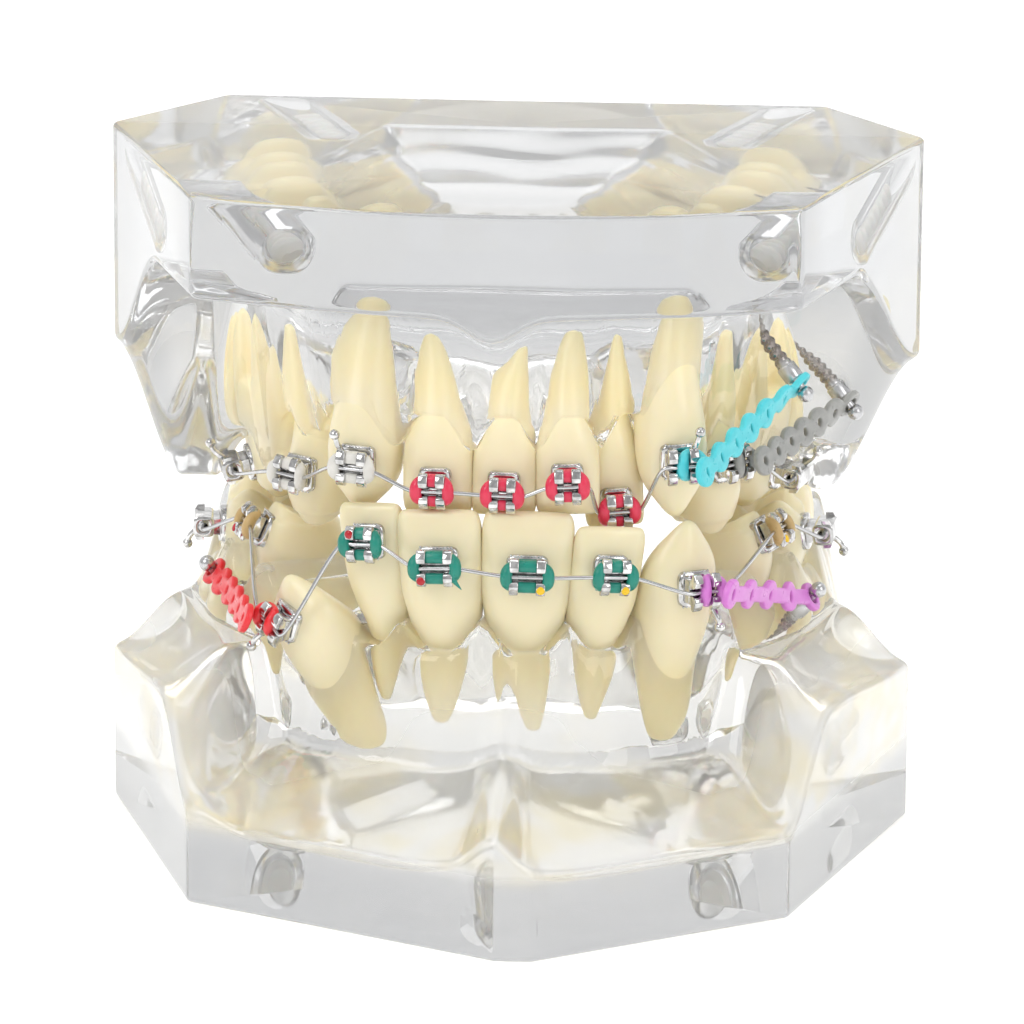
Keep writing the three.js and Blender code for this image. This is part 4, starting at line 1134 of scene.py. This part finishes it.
# Heights above the tip, the ball's radius, profiles, and pitch, depth, from and to of the thread.
SCREW_NECK = 8.9
SCREW_BALL = 9.95
BALL_RADIUS = 0.77
SHANK = [(0.03, 0), (0.25, 0.5), (0.72, 3.2), (0.78, 6.5)]
COLLAR = [(0.78, 6.62), (0.9, 6.7), (0.95, 6.8), (0.95, 8.1),
          (0.88, 8.25), (0.5, 8.4), (0.42, 8.55), (0.42, 9.2)]
SCREW_THREAD = (0.9, 0.2, 0.4, 6.4)


def screw_axis(jaw, name):
    head, tip = (np.array(p, float) for p in SCREWS[jaw][name])
    up = (head - tip) / np.linalg.norm(head - tip)
    return head - up * SCREW_BALL, up


def build_screw(jaw, name):
    origin, up = screw_axis(jaw, name)
    knob = [(BALL_RADIUS * math.sin(a), SCREW_BALL - BALL_RADIUS * math.cos(a))
            for a in np.linspace(0.6, math.pi - 0.06, 14)]
    skin = turned([*refined(SHANK, 0.1), *COLLAR, *knob], 32, SCREW_THREAD)
    place(add_mesh(f"{jaw}_{name}_threaded", *skin, SCREW_STEEL), jaw, upright(origin, up), name)


for jaw, named in SCREWS.items():
    for screw_name in named:
        build_screw(jaw, screw_name)


CHAIN_RING = 1.42
CHAIN_WEB = 0.74
# Where a chain leaves its bracket: along the wire away from the middle, and out from the tooth.
CHAIN_START = (1.7, -3.3)
# Half widths of a ring's hole, pulled to a slit or left round.
SLIT, ROUND = (0.16, 0.42), (0.36, 0.4)


def chain_outline(pitch, rings):
    """The edge of a strip of rings, with a web between neighbours that don't meet."""
    ring = CHAIN_RING
    waist = max(CHAIN_WEB, math.sqrt(max(ring ** 2 - (pitch / 2) ** 2, 0)))
    reach = math.acos(min(1, waist / ring))
    upper = []
    for i in range(rings):
        start = -math.pi / 2 if i == 0 else -reach
        end = math.pi / 2 if i == rings - 1 else reach
        for a in np.linspace(start, end, 14):
            upper.append((i * pitch + ring * math.sin(a), ring * math.cos(a)))
    return [*upper, *[(u, -v) for u, v in upper[-2:0:-1]]]


def build_chain(jaw, name, colour, tooth_name, screw_name, holes, rings=6, sag=0.35, facing=None):
    """A moulded strip of rings, pulled from a bracket to the neck of a screw, its flat side facing out."""
    tooth = next(t for t in TEETH[jaw] if t.name == tooth_name)
    fitting = tooth.fitting_matrix()
    start = moved(fitting, (tooth.distal * CHAIN_START[0], CHAIN_START[1], 0))
    origin, axis = screw_axis(jaw, screw_name)
    outward = -np.array(fitting.col[1][:3]) if facing is None else np.array(facing, float)
    end = origin + axis * SCREW_NECK
    length = np.linalg.norm(end - start)
    pitch = length / (rings - 1)
    curve = bpy.data.curves.new(name, "CURVE")
    curve.dimensions, curve.fill_mode = "2D", "BOTH"
    outlines = [chain_outline(pitch, rings)]
    for i in range(rings):
        wide, tall = (0.78, 0.7) if i == rings - 1 else holes[i % len(holes)]
        outlines.append([(i * pitch + wide * math.cos(a), tall * math.sin(a))
                         for a in np.linspace(0, 2 * math.pi, 20, endpoint=False)])
    for outline in outlines:
        line = curve.splines.new("POLY")
        line.points.add(len(outline) - 1)
        for point, (u, v) in zip(line.points, outline):
            point.co = (u, v, 0, 1)
        line.use_cyclic_u = True
    curve.extrude = 0.12
    curve.bevel_depth, curve.bevel_resolution, curve.offset = 0.2, 3, -0.2
    raw = bpy.data.objects.new(name + "_raw", curve)
    bpy.context.scene.collection.objects.link(raw)
    mesh = bpy.data.meshes.new_from_object(raw.evaluated_get(bpy.context.evaluated_depsgraph_get()))
    bpy.data.objects.remove(raw)
    direction = (end - start) / length
    points = []
    for vertex in mesh.vertices:
        u, v, w = vertex.co
        t = u / length
        # the strip lies on the bracket at one end and turns towards the screw's axis at the other
        face = lerp(outward, axis, 0.6 * smooth(t, 0.55, 1))
        face = face - direction * (face @ direction)
        face /= np.linalg.norm(face)
        across = np.cross(face, direction)
        drop = sag * math.sin(math.pi * min(max(t, 0), 1))
        points.append(start + direction * u + across * v + face * (w - drop))
    faces = [tuple(p.vertices) for p in mesh.polygons]
    place(add_mesh(f"{jaw}_{name}_moulded", points, faces, ELASTICS[colour], sharp=60), jaw, node=name)


build_chain("bottom", "chain_left", "red", "canine_left", "screw_left", [ROUND], facing=(-0.35, -0.9, 0.25))
build_chain("bottom", "chain_right", "violet", "canine_right", "screw_right",
            [(0.3, 0.52), (0.26, 0.5), (0.24, 0.4)], rings=5)
build_chain("top", "chain_front", "cyan", "canine_right", "screw_front", [SLIT], rings=7)
build_chain("top", "chain_back", "grey", "premolar_right", "screw_back", [ROUND], rings=7)


# ---------------------------------------------------------------- stage, light, camera
def build_floor():
    size, count = 4000, 21
    at = np.linspace(-size, size, count)
    points = [(x, y, -0.02) for y in at for x in at]
    faces = [(j * count + i, j * count + i + 1, (j + 1) * count + i + 1, (j + 1) * count + i)
             for j in range(count - 1) for i in range(count - 1)]
    add_mesh("floor", points, faces, paper())


def add_light(name, place_at, size, power, aim=(0, 0, 0.033)):
    data = bpy.data.lights.new(name, "AREA")
    data.shape, data.size, data.size_y, data.energy = "RECTANGLE", size[0], size[1], power
    lamp = bpy.data.objects.new(name, data)
    lamp.location = place_at
    lamp.rotation_euler = (Vector(aim) - Vector(place_at)).to_track_quat("-Z", "Y").to_euler()
    bpy.context.scene.collection.objects.link(lamp)


def build_world():
    """A white room, darker on the camera's side so that clear and polished edges draw themselves."""
    world = bpy.data.worlds.new("studio")
    world.use_nodes = True
    tree = world.node_tree
    shade = tree.nodes["Background"]
    coords = tree.nodes.new("ShaderNodeTexCoord")
    split = tree.nodes.new("ShaderNodeSeparateXYZ")
    tree.links.new(coords.outputs["Generated"], split.inputs[0])
    ramp = tree.nodes.new("ShaderNodeMapRange")
    ramp.interpolation_type = "SMOOTHSTEP"
    # from and to along the room, then the darkest and the brightest wall
    for k, number in enumerate((-0.5, 0.9, 0.6, 1.0)):
        ramp.inputs[k + 1].default_value = number
    tree.links.new(split.outputs[1], ramp.inputs[0])
    tree.links.new(ramp.outputs[0], shade.inputs["Color"])
    shade.inputs["Strength"].default_value = 0.9
    bpy.context.scene.world = world


# Azimuth, elevation and roll in degrees, as in the photograph; aim and reach in metres, lens in millimetres.
CAMERA_ANGLES = (3.55, 15.34, 0.40)
CAMERA_AIM, CAMERA_REACH, CAMERA_LENS = (0.00094, 0, 0.03342), 0.6557, 244.83


def build_camera():
    azimuth, elevation, roll = (math.radians(a) for a in CAMERA_ANGLES)
    back = Vector((math.sin(azimuth) * math.cos(elevation), -math.cos(azimuth) * math.cos(elevation),
                   math.sin(elevation)))
    right = Vector((0, 0, 1)).cross(back).normalized()
    up = back.cross(right)
    right, up = (right * math.cos(roll) + up * math.sin(roll), up * math.cos(roll) - right * math.sin(roll))
    data = bpy.data.cameras.new("camera")
    data.lens, data.sensor_width, data.clip_start, data.clip_end = CAMERA_LENS, 36, 0.05, 20
    camera = bpy.data.objects.new("camera", data)
    matrix = Matrix((right, up, back)).transposed().to_4x4()
    matrix.translation = Vector(CAMERA_AIM) + back * CAMERA_REACH
    camera.matrix_world = matrix
    bpy.context.scene.collection.objects.link(camera)
    bpy.context.scene.camera = camera


build_floor()
build_world()
add_light("key", (-0.75, -0.85, 0.95), (0.7, 0.7), 5.5)
add_light("fill", (0.9, -0.7, 0.6), (0.6, 0.8), 3)
add_light("overhead", (0.0, 0.15, 1.2), (1.0, 1.0), 6)
build_camera()
bpy.context.scene.view_settings.view_transform = "Standard"
